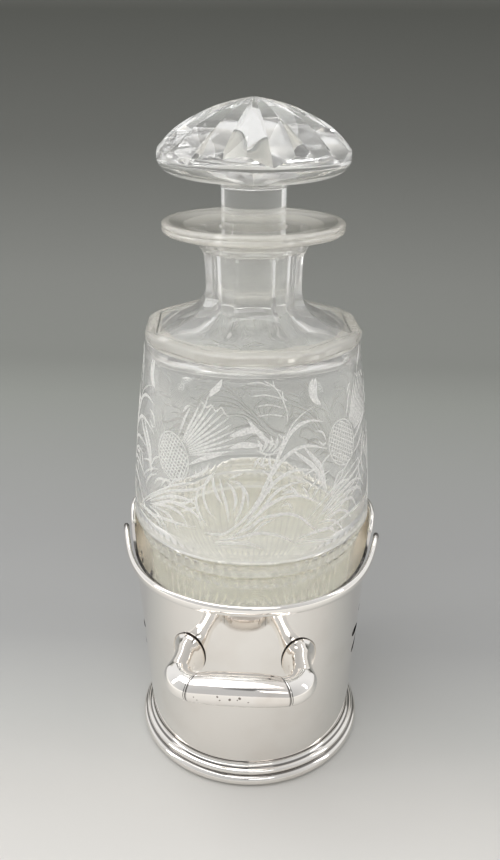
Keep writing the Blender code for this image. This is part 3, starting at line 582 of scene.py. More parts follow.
# %% Shape of the wall
SHEET = 1.2
WALL_FOOT, WALL_TAPER = 44.7, radians(3.32)
FLARE_FROM, FLARE_RISE, FLARE_OUT = 85.0, 21.6, 1.0
TIP, NOTCH = 84.0, 88.0
FRONT_LOW, FRONT_RISE, REAR_LOW, REAR_RISE = 90.6, 10.0, 97.5, 9.1
FRONT_RIM = ((0.0, 0.0), (0.45, 0.0), (0.62, 0.03), (0.74, 0.1), (0.84, 0.26), (0.92, 0.56), (1.0, 1.0))
REAR_RIM = ((0.0, 0.0), (0.033, 0.44), (0.065, 0.71), (0.13, 0.82), (0.26, 0.71), (0.4, 0.38),
            (0.54, 0.16), (0.65, 0.23), (0.76, 0.58), (0.85, 0.89), (1.0, 1.0))


def table_value(table, share):
    """A smooth curve through a table of (place, value), read at many places."""
    fine = spline(table, 400)
    return np.interp(share, fine[:, 0], fine[:, 1])


def wall_radius(z):
    """Outer radius of the tapered sheet."""
    flare = np.maximum(np.asarray(z, float) - FLARE_FROM, 0.0) / FLARE_RISE
    return WALL_FOOT + np.asarray(z, float) * tan(WALL_TAPER) + FLARE_OUT * flare**2


def rim_height(degrees):
    """Height of the rim wire's middle at an angle from the handle."""
    d = np.abs((np.asarray(degrees, float) + 180.0) % 360.0 - 180.0)
    front = FRONT_LOW + FRONT_RISE * table_value(FRONT_RIM, np.clip(d / TIP, 0, 1))
    rear = REAR_LOW + REAR_RISE * table_value(REAR_RIM, np.clip((d - NOTCH) / (180.0 - NOTCH), 0, 1))
    return np.where(d <= TIP, front, rear)


print("rim heights in front and behind:", rim_height([0.0, 180.0]).round(1).tolist())


# %% Pierced motif
HEART, LEAF_FROM, LEAF_LONG, LEAF_WIDE, BEAD, MOTIF_HEIGHT = 2.2, 3.8, 15.0, 2.25 / 1.3, 1.45, 54.0
LEAF_TURNS = ((0, 0.8), (40, 0.85), (80, 0.95), (120, 0.9), (160, 0.7))
BEADS = ((1.0, 20.1), (0.86, 24.4), (0.72, 28.7))


def hole_outlines():
    """The pierced motif in the plane of the side: a heart, nine leaves and three beads."""
    t = angles_of(28)
    disc = np.stack([np.sin(t), np.cos(t)], 1)
    outlines = [disc * HEART]
    for degrees, size in (*LEAF_TURNS, *((-turn, size) for turn, size in LEAF_TURNS[1:])):
        along = LEAF_FROM + LEAF_LONG * size * (1 - np.cos(t)) / 2
        across = LEAF_WIDE * size * np.sin(t) * (1 - np.cos(t))
        b = radians(degrees)
        outlines.append(np.stack([along * sin(b) + across * cos(b), along * cos(b) - across * sin(b)], 1))
    outlines += [disc * BEAD * size + [0.0, up] for size, up in BEADS]
    return [outline + [0.0, MOTIF_HEIGHT] for outline in outlines]


print("holes on each side:", len(hole_outlines()))

# %% Flat pattern
WALL_STEP, WALL_ROWS = 1.5, 34


def inside(points, outline):
    """Which points lie inside a closed outline, by the crossings of a level line."""
    x, y = points[:, 0][:, None], points[:, 1][:, None]
    x1, y1 = outline[:, 0], outline[:, 1]
    x2, y2 = np.roll(x1, -1), np.roll(y1, -1)
    crosses = (y1 > y) != (y2 > y)
    at = x1 + (y - y1) * (x2 - x1) / np.where(y2 == y1, 1e-9, y2 - y1)
    return (crosses & (x < at)).sum(1) % 2 == 1


def flat_pattern():
    """The points of the pattern in (degrees, height), and its triangles, with the holes left out."""
    columns = np.arange(-180.0, 180.01, WALL_STEP)
    edges, points = [], []

    def add_line(line, closed=False):
        first = len(points)
        points.extend(map(tuple, line))
        count = len(line)
        edges.extend((first + k, first + (k + 1) % count) for k in range(count if closed else count - 1))

    top = rim_height(columns)
    boundary = np.concatenate([np.stack([columns, 0 * columns], 1), np.stack([columns, top], 1)[::-1]])
    add_line(boundary, closed=True)
    holes = []
    for middle in (-90.0, 90.0):
        for outline in hole_outlines():
            r = wall_radius(outline[:, 1])
            turn = np.degrees(np.arcsin(outline[:, 0] / r))
            holes.append(np.stack([middle + turn, outline[:, 1]], 1))
            add_line(holes[-1], closed=True)
    rows = np.linspace(0.0, 1.0, WALL_ROWS)[1:-1]
    grid = np.stack([np.repeat(columns, len(rows)), (top[:, None] * rows).ravel()], 1)
    points.extend(map(tuple, grid))
    out = delaunay_2d_cdt(points, edges, [], 1, 1e-6)
    flat = np.array([tuple(p) for p in out[0]])
    faces = np.array(out[2])
    middles = flat[faces].mean(1)
    keep = np.ones(len(faces), bool)
    for hole in holes:
        keep &= ~inside(middles, hole)
    return flat, faces[keep]


flat, flat_faces = flat_pattern()
print("flat pattern:", len(flat), "points,", len(flat_faces), "triangles")

# %% Sheet rolled up
# The last value darkens the sawn edges: painted shade for the holes, with some old polish.
PATTERN_EDGE, SAWN_EDGE_SHADE = 179.999, 0.8


def make_wall(flat, faces):
    """The pattern rolled into a tube with an inner skin, and the edges of the sheet closed."""
    a, z = np.radians(flat[:, 0]), flat[:, 1]
    shells = [np.stack([r * np.sin(a), -r * np.cos(a), z], 1)
              for r in (wall_radius(z), wall_radius(z) - SHEET)]
    # The two upright edges of the pattern meet at the back and become one
    seam = {round(h, 3): k for k, h in enumerate(z) if flat[k, 0] < -PATTERN_EDGE}
    same = np.arange(len(flat))
    for k in np.flatnonzero(flat[:, 0] > PATTERN_EDGE):
        same[k] = seam.get(round(z[k], 3), k)
    faces = same[faces]
    faces = faces[(faces[:, 0] != faces[:, 1]) & (faces[:, 1] != faces[:, 2]) & (faces[:, 0] != faces[:, 2])]
    # Each edge with a face on one side only gets a strip through the thickness of the sheet
    ends = np.concatenate([faces[:, [0, 1]], faces[:, [1, 2]], faces[:, [2, 0]]])
    both = {tuple(e) for e in ends}
    free = np.array([e for e in both if (e[1], e[0]) not in both])
    n = len(flat)
    quads = np.stack([free[:, 1], free[:, 0], free[:, 0] + n, free[:, 1] + n], 1)
    triangles = np.concatenate([faces, faces[:, ::-1] + n])
    used = np.unique(np.concatenate([quads.ravel(), triangles.ravel()]))
    index = np.zeros(2 * n, int)
    index[used] = np.arange(len(used))
    # Painted shade on every sawn edge of the sheet, with some old polish; the faces stay clear.
    grime = np.concatenate([np.full(len(quads), SAWN_EDGE_SHADE), np.zeros(len(triangles))])
    matt = np.concatenate([np.zeros(len(quads) + len(faces)), np.ones(len(faces))])
    return mesh_object("silver_wall", np.concatenate(shells)[used] * MM, index[quads], index[triangles], 40,
                       grime=grime, matt=matt)


finish_piece(make_wall(flat, flat_faces), SILVER, "stand", "stand_wall")

# %% [markdown]
# ## Rims
#
# Oval wires are soldered to the top edge: one along the low front, which leans outwards and ends in
# two free tips, and one along the high back. A curve with a bevel would make them too, but its ends
# would be flat. Here the ring shrinks to a pole along a quarter circle at both ends. The tips of the
# front wire are painted dark: painted shade in the notch where they end, with tarnish where no cloth
# gets round them.

# %% Rim wires
CURL = ((0.0, 0.0), (0.2, 0.12), (0.4, 0.42), (0.6, 0.72), (0.8, 0.92), (1.0, 1.0))
# The last value darkens the front wire's tips: painted shade, with some tarnish.
FRONT_LEAN, FRONT_SINK, TIP_SHADE = 2.2, 0.5, 0.9
FRONT_HALF_THICK, FRONT_HALF_DEEP, REAR_HALF_THICK, REAR_HALF_DEEP = 1.2, 2.3, 1.1, 1.8
WIRE_STATIONS, WIRE_ROUND = 150, 28


def rim_path(degrees, outwards=0.0):
    """The rim wire's middle line."""
    z = rim_height(degrees)
    r = wall_radius(z) + outwards
    a = np.radians(degrees)
    return np.stack([r * np.sin(a), -r * np.cos(a), z], 1)


def round_ends(half, length, station):
    """Shares of a wire's section that round its two ends over that length."""
    end = np.minimum(station - station[0], station[-1] - station)
    return half * np.sqrt(np.clip(1 - (1 - np.clip(end / length, 0, 1)) ** 2, 0, 1))


def wire_object(name, path, half_thick, half_deep, tip_grime=0.0):
    """An oval wire along a path, whose ends are rounded to a pole and may be painted dark, for shade and
    tarnish.
    """
    step = np.concatenate([[0], np.cumsum(np.linalg.norm(np.diff(path, axis=0), axis=1))])
    ends = np.array([0.0, 0.06, 0.2, 0.42, 0.7, 1.0]) * half_thick
    middle = np.linspace(step[0] + 2 * half_thick, step[-1] - 2 * half_thick, WIRE_STATIONS)
    at = np.concatenate([ends, middle, step[-1] - ends[::-1]])
    path = np.stack([np.interp(at, step, path[:, k]) for k in range(3)], 1)
    along = np.gradient(path, at, axis=0)
    along /= np.linalg.norm(along, axis=1)[:, None]
    side = np.cross(along, [0.0, 0.0, 1.0])
    side /= np.linalg.norm(side, axis=1)[:, None]
    up = np.cross(side, along)
    wide, high = (round_ends(half, half_thick, at)[:, None] for half in (half_thick, half_deep))
    a = angles_of(WIRE_ROUND)
    grid = (path[:, None] + side[:, None] * (wide * np.cos(a))[..., None]
            + up[:, None] * (high * np.sin(a))[..., None])
    # Painted shade, with tarnish, darkest at both ends and gone a few millimetres in.
    grime = tip_grime * np.clip(1.4 - np.minimum(at, at[-1] - at) / 3.0, 0, 1)
    return rows_object(name, as_rows(grid), sharp=60, grime=grime)


front = np.linspace(-TIP, TIP, 241)
front_path = rim_path(front, FRONT_LEAN * table_value(CURL, np.abs(front) / TIP)) - [0.0, 0.0, FRONT_SINK]
finish_piece(wire_object("front_rim", front_path, FRONT_HALF_THICK, FRONT_HALF_DEEP, TIP_SHADE),
             BRIGHT, "stand", "front_rim_wire")
rear_path = rim_path(np.linspace(NOTCH, 360 - NOTCH, 241))
finish_piece(wire_object("rear_rim", rear_path, REAR_HALF_THICK, REAR_HALF_DEEP),
             BRIGHT, "stand", "rear_rim_wire")

# %% [markdown]
# ## Foot and floor
#
# The foot is a drawn moulding bent round the wall, and the floor is a disc let in under the
# decanter. Both are round, so both are turned profiles, with arcs for the mouldings. The grooves
# between the mouldings are painted dark by distance from each groove: painted shade, with some
# old polish in them.

# %% Foot and floor
# The last value darkens the grooves of the foot: painted shade, with some old polish.
FOOT_INNER, FOOT_TOP, GROOVE_SHADE = 45.0, 9.6, 0.9


def make_foot():
    """Three mouldings round the foot: a cove, a small bead and a large bead."""
    cove = arc(47.0, 9.3, 1.6, 176, 248, 10)
    bead = arc(46.95, 5.9, 1.42, 96, -52, 20)
    large = arc(47.55, 2.45, 2.45, 62, -86, 28)
    inner = np.array([[FOOT_INNER, 0.0], [FOOT_INNER + FOOT_TOP * tan(WALL_TAPER), 9.55]])
    profile = np.concatenate([cove, bead, large, inner])
    rows = turned_rows(profile[:, 0], profile[:, 1], 256)
    place = np.arange(len(profile))
    grooves = (0, len(cove) - 0.5, len(cove) + len(bead) - 0.5)
    # Painted shade in the grooves, with some old polish, falling off with distance from each groove.
    grime = GROOVE_SHADE * np.max([np.clip(1.15 - 0.6 * np.abs(place - k), 0, 1) for k in grooves], axis=0)
    return rows_object("silver_foot", list(rows), ring=True, sharp=38, grime=grime)


def make_floor():
    """The disc under the decanter, with a softened edge."""
    profile = np.array([[0, 1.5], [20, 1.5], [42.9, 1.5], [43.15, 1.3], [43.2, 1.1], [43.2, 0.2], [43.0, 0.0],
                        [20, 0.0], [0, 0.0]])
    rows = as_rows(turned_rows(profile[:, 0], profile[:, 1], 192))
    return rows_object("silver_floor", rows, sharp=30, matt=(profile[:, 1] > 1.0).astype(float))


finish_piece(make_foot(), SILVER, "stand", "foot_moulding")
finish_piece(make_floor(), SILVER, "stand", "stand_floor")

# %% [markdown]
# ## Handle
#
# The handle is a bow of cast silver with two round corners. Each arm starts in an oval foot on the
# wall, narrows like a trumpet and swells into its corner. Slanting seams divide the corners from the
# barrelled grip. A curve with a bevel keeps every section square to its path, and these seams slant.
# So each section is an upright oval whose plane turns more slowly than the corner does as far as the
# seam, and stands square again on the grip. The crevices at the seams and feet are painted dark:
# painted shade, with some tarnish.

# %% Sections of the bow
REACH, GRIP_Z, BOW, CORNER_X = 69.05, 69.5, 6.9, 16.2
CORNER_Y = REACH - BOW
SEAM, SEAM_TURN, SQUARE_AGAIN, MIDDLE = 10.2, 60.0, 20.0, BOW * pi / 2 + CORNER_X
SECTION_POINTS = 48


def section_row(middle, turn, wide, high):
    """An oval whose plane holds the vertical and the direction at this angle from the side."""
    t = angles_of(SECTION_POINTS)
    a = radians(turn)
    out = wide * np.cos(t)
    return np.asarray(middle) + np.stack([out * cos(a), -out * sin(a), high * np.sin(t)], 1)


def bow_row(place, radius):
    """The section this far along the bow from the arm's end, widened where its plane lies aslant."""
    way = min(place / BOW, pi / 2)
    plane = float(np.interp(place, [0.0, SEAM, SQUARE_AGAIN], [0.0, SEAM_TURN, 90.0]))
    x = CORNER_X + BOW * cos(way) - max(place - BOW * pi / 2, 0.0)
    wide = radius / cos(way - radians(plane))
    return section_row([x, -CORNER_Y - BOW * sin(way), GRIP_Z], plane, wide, radius)


def capped(name, rows, grime, material, node, side=1.0):
    """Closes the rows at both ends and mirrors them to their side."""
    rows = [rows[0].mean(0, keepdims=True)] + rows + [rows[-1].mean(0, keepdims=True)]
    item = rows_object(name, [row * [side, 1.0, 1.0] for row in rows], sharp=50,
                       grime=np.array([grime[0], *grime, grime[-1]]))
    finish_piece(item, material, "stand", node)


print("half of the bow:", round(MIDDLE, 1), "mm, seam at", SEAM)

# %% Arms
ARM_FOOT_X, ARM_FOOT_Z, ELBOW_X = 22.0, 64.0, CORNER_X + BOW
ARM_ROUTE = ((0.0, ARM_FOOT_X, ARM_FOOT_Z, 6.7, 9.8), (0.12, 22.0, 65.0, 5.9, 8.2),
             (0.28, 22.1, 66.4, 5.0, 6.6), (0.46, 22.3, 67.9, 4.5, 5.6), (0.64, 22.6, 68.9, 4.4, 5.0),
             (0.8, 22.9, 69.4, 4.7, 4.9), (0.92, ELBOW_X, GRIP_Z, 5.2, 5.3), (1.0, ELBOW_X, GRIP_Z, 5.6, 5.6))
ARM_FREE, CORNER_THICK, CORNER_TAPER, SEAM_GAP, SEAM_BOTTOM = 0.7, 5.7, 0.5, 0.27, 4.7


def arm_rows():
    """From the foot on the wall along the trumpet and round the corner to the seam.

    A station has its share of the way, its place and the half sizes of its oval. The sections start as
    copies of the wall's curve and are plain ovals from ARM_FREE of the way on."""
    start = float(np.sqrt(wall_radius(ARM_FOOT_Z) ** 2 - ARM_FOOT_X**2))
    rows = []
    for share, x, z, wide, high in spline(ARM_ROUTE, 56):
        row = section_row([x, -start - (CORNER_Y - start) * share, z], 0.0, wide, high)
        touch = -np.sqrt(wall_radius(row[:, 2]) ** 2 - row[:, 0] ** 2) - (CORNER_Y - start) * share
        blend = ease(share / ARM_FREE)
        row[:, 1] = (1 - blend) * touch + blend * row[:, 1]
        rows.append(row)
    rows = [rows[0] + [0, step, 0] for step in (0.6, -0.05, -0.55, -0.8)] + rows[2:]
    # Painted shade, with some tarnish, on the rows at the foot on the wall and at the seam.
    grime = [1.0, 1.0, 1.0] + [0.0] * (len(rows) - 3)
    corner = np.linspace(0.5, SEAM - SEAM_GAP - 0.04, 20)
    rows += [bow_row(place, CORNER_THICK - CORNER_TAPER * place / SEAM) for place in corner]
    rows += [bow_row(SEAM - SEAM_GAP - 0.02, 5.0), bow_row(SEAM - SEAM_GAP, SEAM_BOTTOM)]
    return rows, grime + [0.0] * len(corner) + [1.0, 1.0]


print("arm sections:", len(arm_rows()[0]))

# %% Grip, arms and seams
GRIP_THICK, GRIP_TAPER = 6.2, 1.1
SEAM_RING = ((-0.24, 4.8), (-0.2, 5.15), (-0.1, 5.3), (0.07, 5.3), (0.19, 5.2), (0.23, 4.8))


def grip_rows():
    """From seam to seam, barrelled like a small cask, with rounded shoulders at both ends."""
    places = np.linspace(SEAM + SEAM_GAP + 0.01, MIDDLE, 28)
    radii = GRIP_THICK - GRIP_TAPER * ((MIDDLE - places) / (MIDDLE - SEAM)) ** 3
    rows = [bow_row(SEAM + SEAM_GAP, SEAM_BOTTOM)]
    rows += [bow_row(place, radius) for place, radius in zip(places, radii)]
    # Painted shade, with some tarnish, on the rows at both seams.
    grime = [1.0, 1.0] + [0.0] * (len(rows) - 2)
    return rows + [row * [-1.0, 1.0, 1.0] for row in rows[-2::-1]], grime + grime[-2::-1]


rows, grime = grip_rows()
capped("grip_bar", rows, grime, WORN, "handle_grip")
for side, word in ((-1, "left"), (1, "right")):
    rows, grime = arm_rows()
    capped("arm_" + word, rows, grime, BRIGHT, "handle_arm_" + word, side)
    rows = [bow_row(SEAM + step, radius) for step, radius in SEAM_RING]
    # The seam ring is painted dark at its edges: painted shade, with some tarnish.
    capped("seam_" + word, rows, [1.0, 0.3, 0.0, 0.0, 0.3, 1.0], BRIGHT, "grip_collar_" + word, side)

# %% [markdown]
# ## Decanter
#
# The glass was blown and then cut on a wheel: eight flat panels on the neck that run out over the
# shoulder to a ring, two bands of thumb cuts under the barrel, and tall flutes below. Booleans with
# dozens of cutters would leave ragged edges. So the profile is turned, and the radius of each point
# is the nearer of the round surface and the cut. A row of the neck is given as how far its panels
# stand from the axis, the radius that its corners keep, and its height. One closed surface holds
# the outside and the inside, because light bends at both.

# %% Turned and panelled rows
FINE, COARSE, FACETS, PANELS = 576, 288, 72, 8
NECK_TURN = radians(6.0)
BODY = spline([(41.5, 184.4), (43.03, 172.0), (44.55, 160.2), (45.9, 148.3), (47.0, 135.7), (48.0, 123.8),
               (48.9, 110.5)], 200)


def panelled_rows(stations, hollow=0.0):
    """Rows whose radius is the nearer of the panel and the round corner.

    A panel stands at one distance from the axis, less a shallow hollow that is deepest in its middle."""
    flat, corner, z = np.asarray(stations, float).T
    pitch = 2 * pi / PANELS
    offset = (angles_of(COARSE) + pitch / 2) % pitch - pitch / 2
    dip = np.broadcast_to(hollow, len(z))[:, None] * (1 - (2 * offset / pitch) ** 2)
    radius = np.minimum(flat[:, None] / np.cos(offset) - dip, corner[:, None])
    return turned_rows(radius, z, COARSE, NECK_TURN)


def round_rows(*runs, count=COARSE):
    """Turned rows through one or more runs of (radius, height)."""
    profile = np.concatenate(runs)
    return turned_rows(profile[:, 0], profile[:, 1], count, NECK_TURN)


print("barrel from", BODY[-1].tolist(), "to", BODY[0].tolist())

# %% Lip, neck, shoulder and ring
NECK_HOLLOW, SHOULDER_HOLLOW = 0.5, 0.1


def lip_and_neck():
    """From the mouth over the double lip, under it, down the panels and out over shoulder and ring."""
    lip = round_rows(spline([(12.8, 225.1), (16.5, 225.1), (21.0, 225.4), (26.0, 226.2), (29.9, 227.15),
                             (31.0, 227.4)], 16),
                     spline([(31.9, 227.45), (33.1, 227.3), (33.7, 226.8), (33.8, 226.2), (33.5, 225.7)], 12),
                     spline([(33.45, 225.5), (33.8, 225.0), (33.7, 224.2), (33.0, 223.4), (32.0, 223.1)], 12),
                     spline([(30.5, 222.95), (27.5, 222.1), (24.6, 220.9), (22.6, 219.9)], 8))
    neck = spline([(23.4, 21.9, 219.5), (21.6, 21.1, 218.9), (20.1, 20.6, 218.2), (19.1, 20.2, 217.3),
                   (18.5, 19.8, 215.5), (18.15, 19.45, 212.0), (17.95, 19.3, 208.0), (17.9, 19.25, 204.5),
                   (17.95, 19.35, 202.0), (18.15, 19.6, 200.2)], 40)
    shoulder = spline([(18.5, 19.95, 198.9), (19.15, 20.7, 197.3), (20.3, 21.9, 195.6),
                       (22.1, 23.8, 193.7), (24.8, 26.7, 191.9), (28.2, 30.4, 190.3),
                       (32.2, 34.7, 189.2), (35.5, 38.2, 188.5)], 34)
    ring = np.concatenate([lines([(35.9, 38.6, 188.45), (36.3, 39.0, 188.75)], 2),
                           lines([(36.8, 39.4, 188.85), (39.6, 40.9, 188.65)], 3),
                           spline([(40.2, 41.5, 188.45), (40.7, 41.95, 187.9), (40.8, 42.05, 187.2)], 5),
                           spline([(40.8, 42.05, 186.1), (40.7, 41.95, 185.5), (40.3, 41.5, 185.0)], 5)])
    fading = np.linspace(NECK_HOLLOW, SHOULDER_HOLLOW, len(shoulder))
    return [lip, panelled_rows(neck, NECK_HOLLOW), panelled_rows(shoulder, fading), panelled_rows(ring)]


print("rows from lip to ring:", [len(part) for part in lip_and_neck()])

# %% Bands and flutes
THUMB_DEEP, FLUTE_DEEP = 0.75, 0.6


def band_rows():
    """The two stepped bands with their thumb cuts, then the flutes below."""
    a = (angles_of(FINE) * FACETS / (2 * pi)) % 1.0
    bands = [((48.9, 110.1), (47.6, 109.0), 2, None), ((47.45, 108.8), (46.45, 103.2), 10, 0.0),
             ((46.4, 102.8), (45.2, 101.8), 2, None), ((45.05, 101.6), (43.95, 96.4), 10, 0.5),
             ((43.9, 96.0), (42.7, 95.2), 2, None), ((42.6, 94.8), (40.4, 48.0), 9, "flutes"),
             ((40.3, 44.0), (38.6, 10.0), 7, "flutes")]
    radii, heights = [], []
    for (r0, z0), (r1, z1), count, kind in bands:
        v = np.linspace(0, 1, count)
        r = (r0 + (r1 - r0) * v)[:, None] + 0 * a
        if kind == "flutes":
            r = r - FLUTE_DEEP * (1 - (2 * a - 1) ** 2) * np.clip(v * 8 + (z0 < 60), 0, 1)[:, None]
        elif kind is not None:
            u = (a + kind) % 1.0 * 2 - 1
            r = r - THUMB_DEEP * np.clip(1 - (u / 0.95) ** 2 - ((2 * v[:, None] - 1) / 0.97) ** 4, 0, None)
        radii.append(r)
        heights.append(z0 + (z1 - z0) * v)
    return turned_rows(np.concatenate(radii), np.concatenate(heights), FINE, NECK_TURN)


print("rows of bands and flutes:", len(band_rows()))

# %% The whole skin, inside and out
base = round_rows(spline([(38.5, 8.8), (38.0, 5.0), (36.6, 2.6), (34.8, 1.8)], 10),
                  lines([(32.0, 1.8), (30.0, 2.6)], 3), lines([(20.0, 3.0), (0.0, 3.0)], 2))
hollow = round_rows(spline([(0.0, 14.05), (10.0, 14.4), (20.5, 15.8), (29.0, 18.0), (33.2, 22.5),
                            (34.3, 30.0)], 20),
                    spline([(35.0, 44.0), (38.0, 93.0), (40.4, 103.0), (42.6, 111.0), (43.4, 123.0),
                            (42.5, 135.0), (41.4, 148.0), (40.1, 160.0), (38.9, 172.0), (36.8, 178.5),
                            (33.6, 181.2), (28.0, 183.2), (21.0, 185.2), (16.6, 187.2), (13.8, 189.8),
                            (12.5, 193.0), (12.2, 196.0)], 50),
                    lines([(12.2, 198.0), (12.2, 224.2), (12.5, 224.9)], 4))
barrel = round_rows([(41.2, 184.75)], BODY[::8], BODY[-1:])
rows = [row for part in (hollow, *lip_and_neck(), barrel, band_rows(), base) for row in as_rows(part)]
decanter = rows_object("crystal_decanter", rows, sharp=28)
finish_piece(decanter, CRYSTAL, "decanter", "decanter_bottle")

# %% [markdown]
# ## Milky skin
#
# The inside of the decanter, the bands and the flutes stay clear: below the rim the stand keeps hands
# off, and light has to cross the glass there many times. The outside above them is slightly milky, and
# most so where hands rub it, on the lip and the ring. A face belongs to the outside when it looks
# away from the axis, so its place and its direction choose its material.

# %% Milky faces
BANDS_TOP, LIP_FOOT, RING_LOW, RING_INNER, BORE = 111.0, 219.6, 184.0, 35.0, 12.7
faces = decanter.data.polygons
decanter.data.materials.append(BLOOMED)
decanter.data.materials.append(RUBBED)
middles, ways = np.empty(3 * len(faces)), np.empty(3 * len(faces))
faces.foreach_get("center", middles)
faces.foreach_get("normal", ways)
middles, ways = middles.reshape(-1, 3) / MM, ways.reshape(-1, 3)
reach, height = np.hypot(middles[:, 0], middles[:, 1]), middles[:, 2]
faces_out = (middles[:, :2] * ways[:, :2]).sum(1) > -0.2 * reach
outside = faces_out & (reach > BORE) & (height > BANDS_TOP)
rubbed = (height > LIP_FOOT) | ((reach > RING_INNER) & (height > RING_LOW))
faces.foreach_set("material_index", (outside * (1 + rubbed)).astype(np.int32))
print("milky faces:", int(outside.sum()), "of", len(faces))

# %% [markdown]
# ## Engraving
#
# A copper wheel cuts each leaf as one stroke that starts fine, swells and runs out again. A picture
# on the glass would be flat and would blur. So each stroke is a slim lens-shaped sliver that lies in
# the skin of the glass and shows from outside and, through the body, from behind. The tables hold a
# half width in millimetres, then pairs of degrees round the body and heights, as drawn. One spray
# with its thistle covers a quarter of the body and is set four times round.

# %% Strokes of one spray
LEAVES = (
    (0.45, -32.5, 157, -29.5, 164, -27, 168), (0.8, -26, 147, -20, 150, -14, 152, -10, 153),
    (0.6, -27, 141.5, -21, 144, -17.5, 146.5, -16, 149), (0.5, -43, 134, -40, 137.5, -36.5, 138.5),
    (0.4, -36.5, 137, -33, 139.5, -29.5, 141), (0.4, -60, 140, -53, 141.5, -51, 140),
    (0.4, -44, 146, -49, 143.5, -51, 140.5), (0.4, -58, 134.5, -52, 138.5, -45, 140.5),
    (0.4, -56, 131, -52, 135.5, -46.5, 138), (0.4, -51, 127, -37.5, 135.5, -27, 139.5, -21.5, 140.5),
    (0.6, -55, 124, -39.5, 133, -27.5, 136.5, -20, 139, -16, 142.5, -14, 145.5),
    (0.7, -51, 125.5, -36, 132, -26, 133, -20, 131),
    (0.7, -49, 125, -35, 130, -26, 129.5, -21, 127.5, -19, 124),
    (0.6, -47.5, 125, -36, 127.5, -29, 126, -26, 122), (0.6, -49, 124, -39, 124.5, -33.5, 122, -31, 119),
    (0.5, -52, 123, -44, 122, -40, 119, -37.5, 116), (0.4, -32.5, 130, -27, 131.5, -23, 134),
    (0.4, -30, 127.5, -25, 129.5, -21, 131.5), (0.8, -62.5, 119.5, -51, 120.5, -45, 119.5, -42, 117),
    (0.4, -64, 117.5, -55, 117, -48, 115.5, -42.5, 114.5), (0.4, -31, 165.5, -29, 168, -27, 169),
    (1.1, -17, 173.5, -15, 175.5, -13, 177, -11, 180), (0.35, -32.5, 178, -29.5, 178.5, -26.5, 178.5),
    (0.6, -8, 143, -5, 140.5, -3.5, 136, -4.5, 131), (0.5, -6.5, 143.5, -2, 142.5, 1.5, 138.5, 2, 133),
    (0.6, -14, 144.5, -13.5, 140.5, -11.5, 136.5, -9.5, 134),
    (0.5, -17, 142.5, -18.5, 137, -16.5, 131.5, -13, 128),
    (0.5, -11, 144, -9.5, 139, -7.5, 133, -6.5, 127.5),
    (0.5, -20.5, 139.5, -22, 133.5, -20, 128.5, -16.5, 124.5),
    (0.5, -1.5, 143, 0, 138, -1.5, 132, -4, 126.5), (0.4, -7, 144, -3.5, 145.5, -0.5, 146.5),
    (0.4, -18.5, 140, -16, 143.5, -13, 146), (0.5, -13, 118, -7.5, 118.5, -1.5, 119, 4, 118.5, 8.5, 116.5),
    (0.6, -12, 119, -3, 121, 5, 123, 10, 123, 16, 121.5, 22.5, 118),
    (0.65, -6.5, 121, 3, 125.5, 8, 129, 14, 130, 20, 130, 26, 127.5, 30.5, 123.5, 34.5, 120),
    (0.7, -3, 122.5, 5.5, 130, 11, 134, 17, 136.5, 24, 136.5, 33.5, 133),
    (0.6, -1.5, 124, 7.5, 132, 13.5, 138.5, 20.5, 141.5, 29, 141.5),
    (0.7, 1.5, 127.5, 8, 136.5, 13, 142.5, 20, 146, 26, 146.5, 32, 145.5),
    (0.7, 5.5, 135, 11, 144, 16, 150, 21, 153.5, 26.5, 155, 32.5, 154.5, 40, 152),
    (0.7, 8, 140, 13, 148.5, 17.5, 156, 21, 160.5, 26.5, 163.5, 32, 164, 39, 162.5),
    (1.4, 37.5, 169, 34, 172, 34, 175.5, 35, 179), (0.8, 35, 169.5, 32.5, 173, 32, 176.5, 33.5, 179),
    (0.9, 22, 154.5, 27.5, 150.5, 32.5, 146.5, 36, 142, 39, 135),
    (0.9, 28, 154.5, 32.5, 150, 36.5, 145.5, 39.5, 136), (0.4, 34, 160, 38, 158.5, 40, 155),
    (0.4, 35.5, 156, 38, 154, 40, 154.5), (0.5, 8, 148, 12, 144.5, 11, 138),
    (0.5, 23.5, 139, 20, 138.5, 16.5, 138), (0.4, 26.5, 140, 28.5, 137.5, 30, 134.5),
    (0.5, 21, 141, 23.5, 138, 26, 135.5), (0.4, 1.5, 120.5, 8, 126.5, 13.5, 128.5),
    (0.4, 16, 133, 20, 134, 22, 131), (1.2, -6.5, 160, -1.5, 161.5, 3, 162.5, 8.5, 161.5),
    (1.1, -6.5, 155.5, -1.5, 157, 3, 157, 8.5, 157), (0.9, 1.5, 166, 5.5, 162.5, 9, 159.5, 14, 157),
    (0.5, 8, 154.5, 10, 158, 9, 160.5), (0.5, 10, 154.5, 12.5, 157.5, 12, 160.5),
    (0.5, 12, 154.5, 14.5, 157, 15, 160), (0.5, 13, 154, 17, 156.5, 18, 159.5),
    (0.5, 7, 154, 7.5, 157, 6, 159), (0.5, 9.5, 153, 8, 150.5, 9, 148),
    (0.5, 11.5, 153, 11.5, 150, 12.5, 147.5), (0.5, 7.5, 152.5, 5.5, 151, 4.5, 148.5),
    (0.4, 6, 155, 10, 153.5, 15, 154), (0.4, 5.5, 151.5, 8, 149.5, 12, 150.5),
    (0.4, 15.5, 161, 17, 159.5, 19, 160), (0.6, 37, 119.5, 45, 121, 56, 122, 68, 122.5),
    (0.5, 39, 124, 45.5, 125.5, 52, 129, 57.5, 132), (0.5, 42, 132.5, 44, 135, 48.5, 136.5, 55, 136.5))
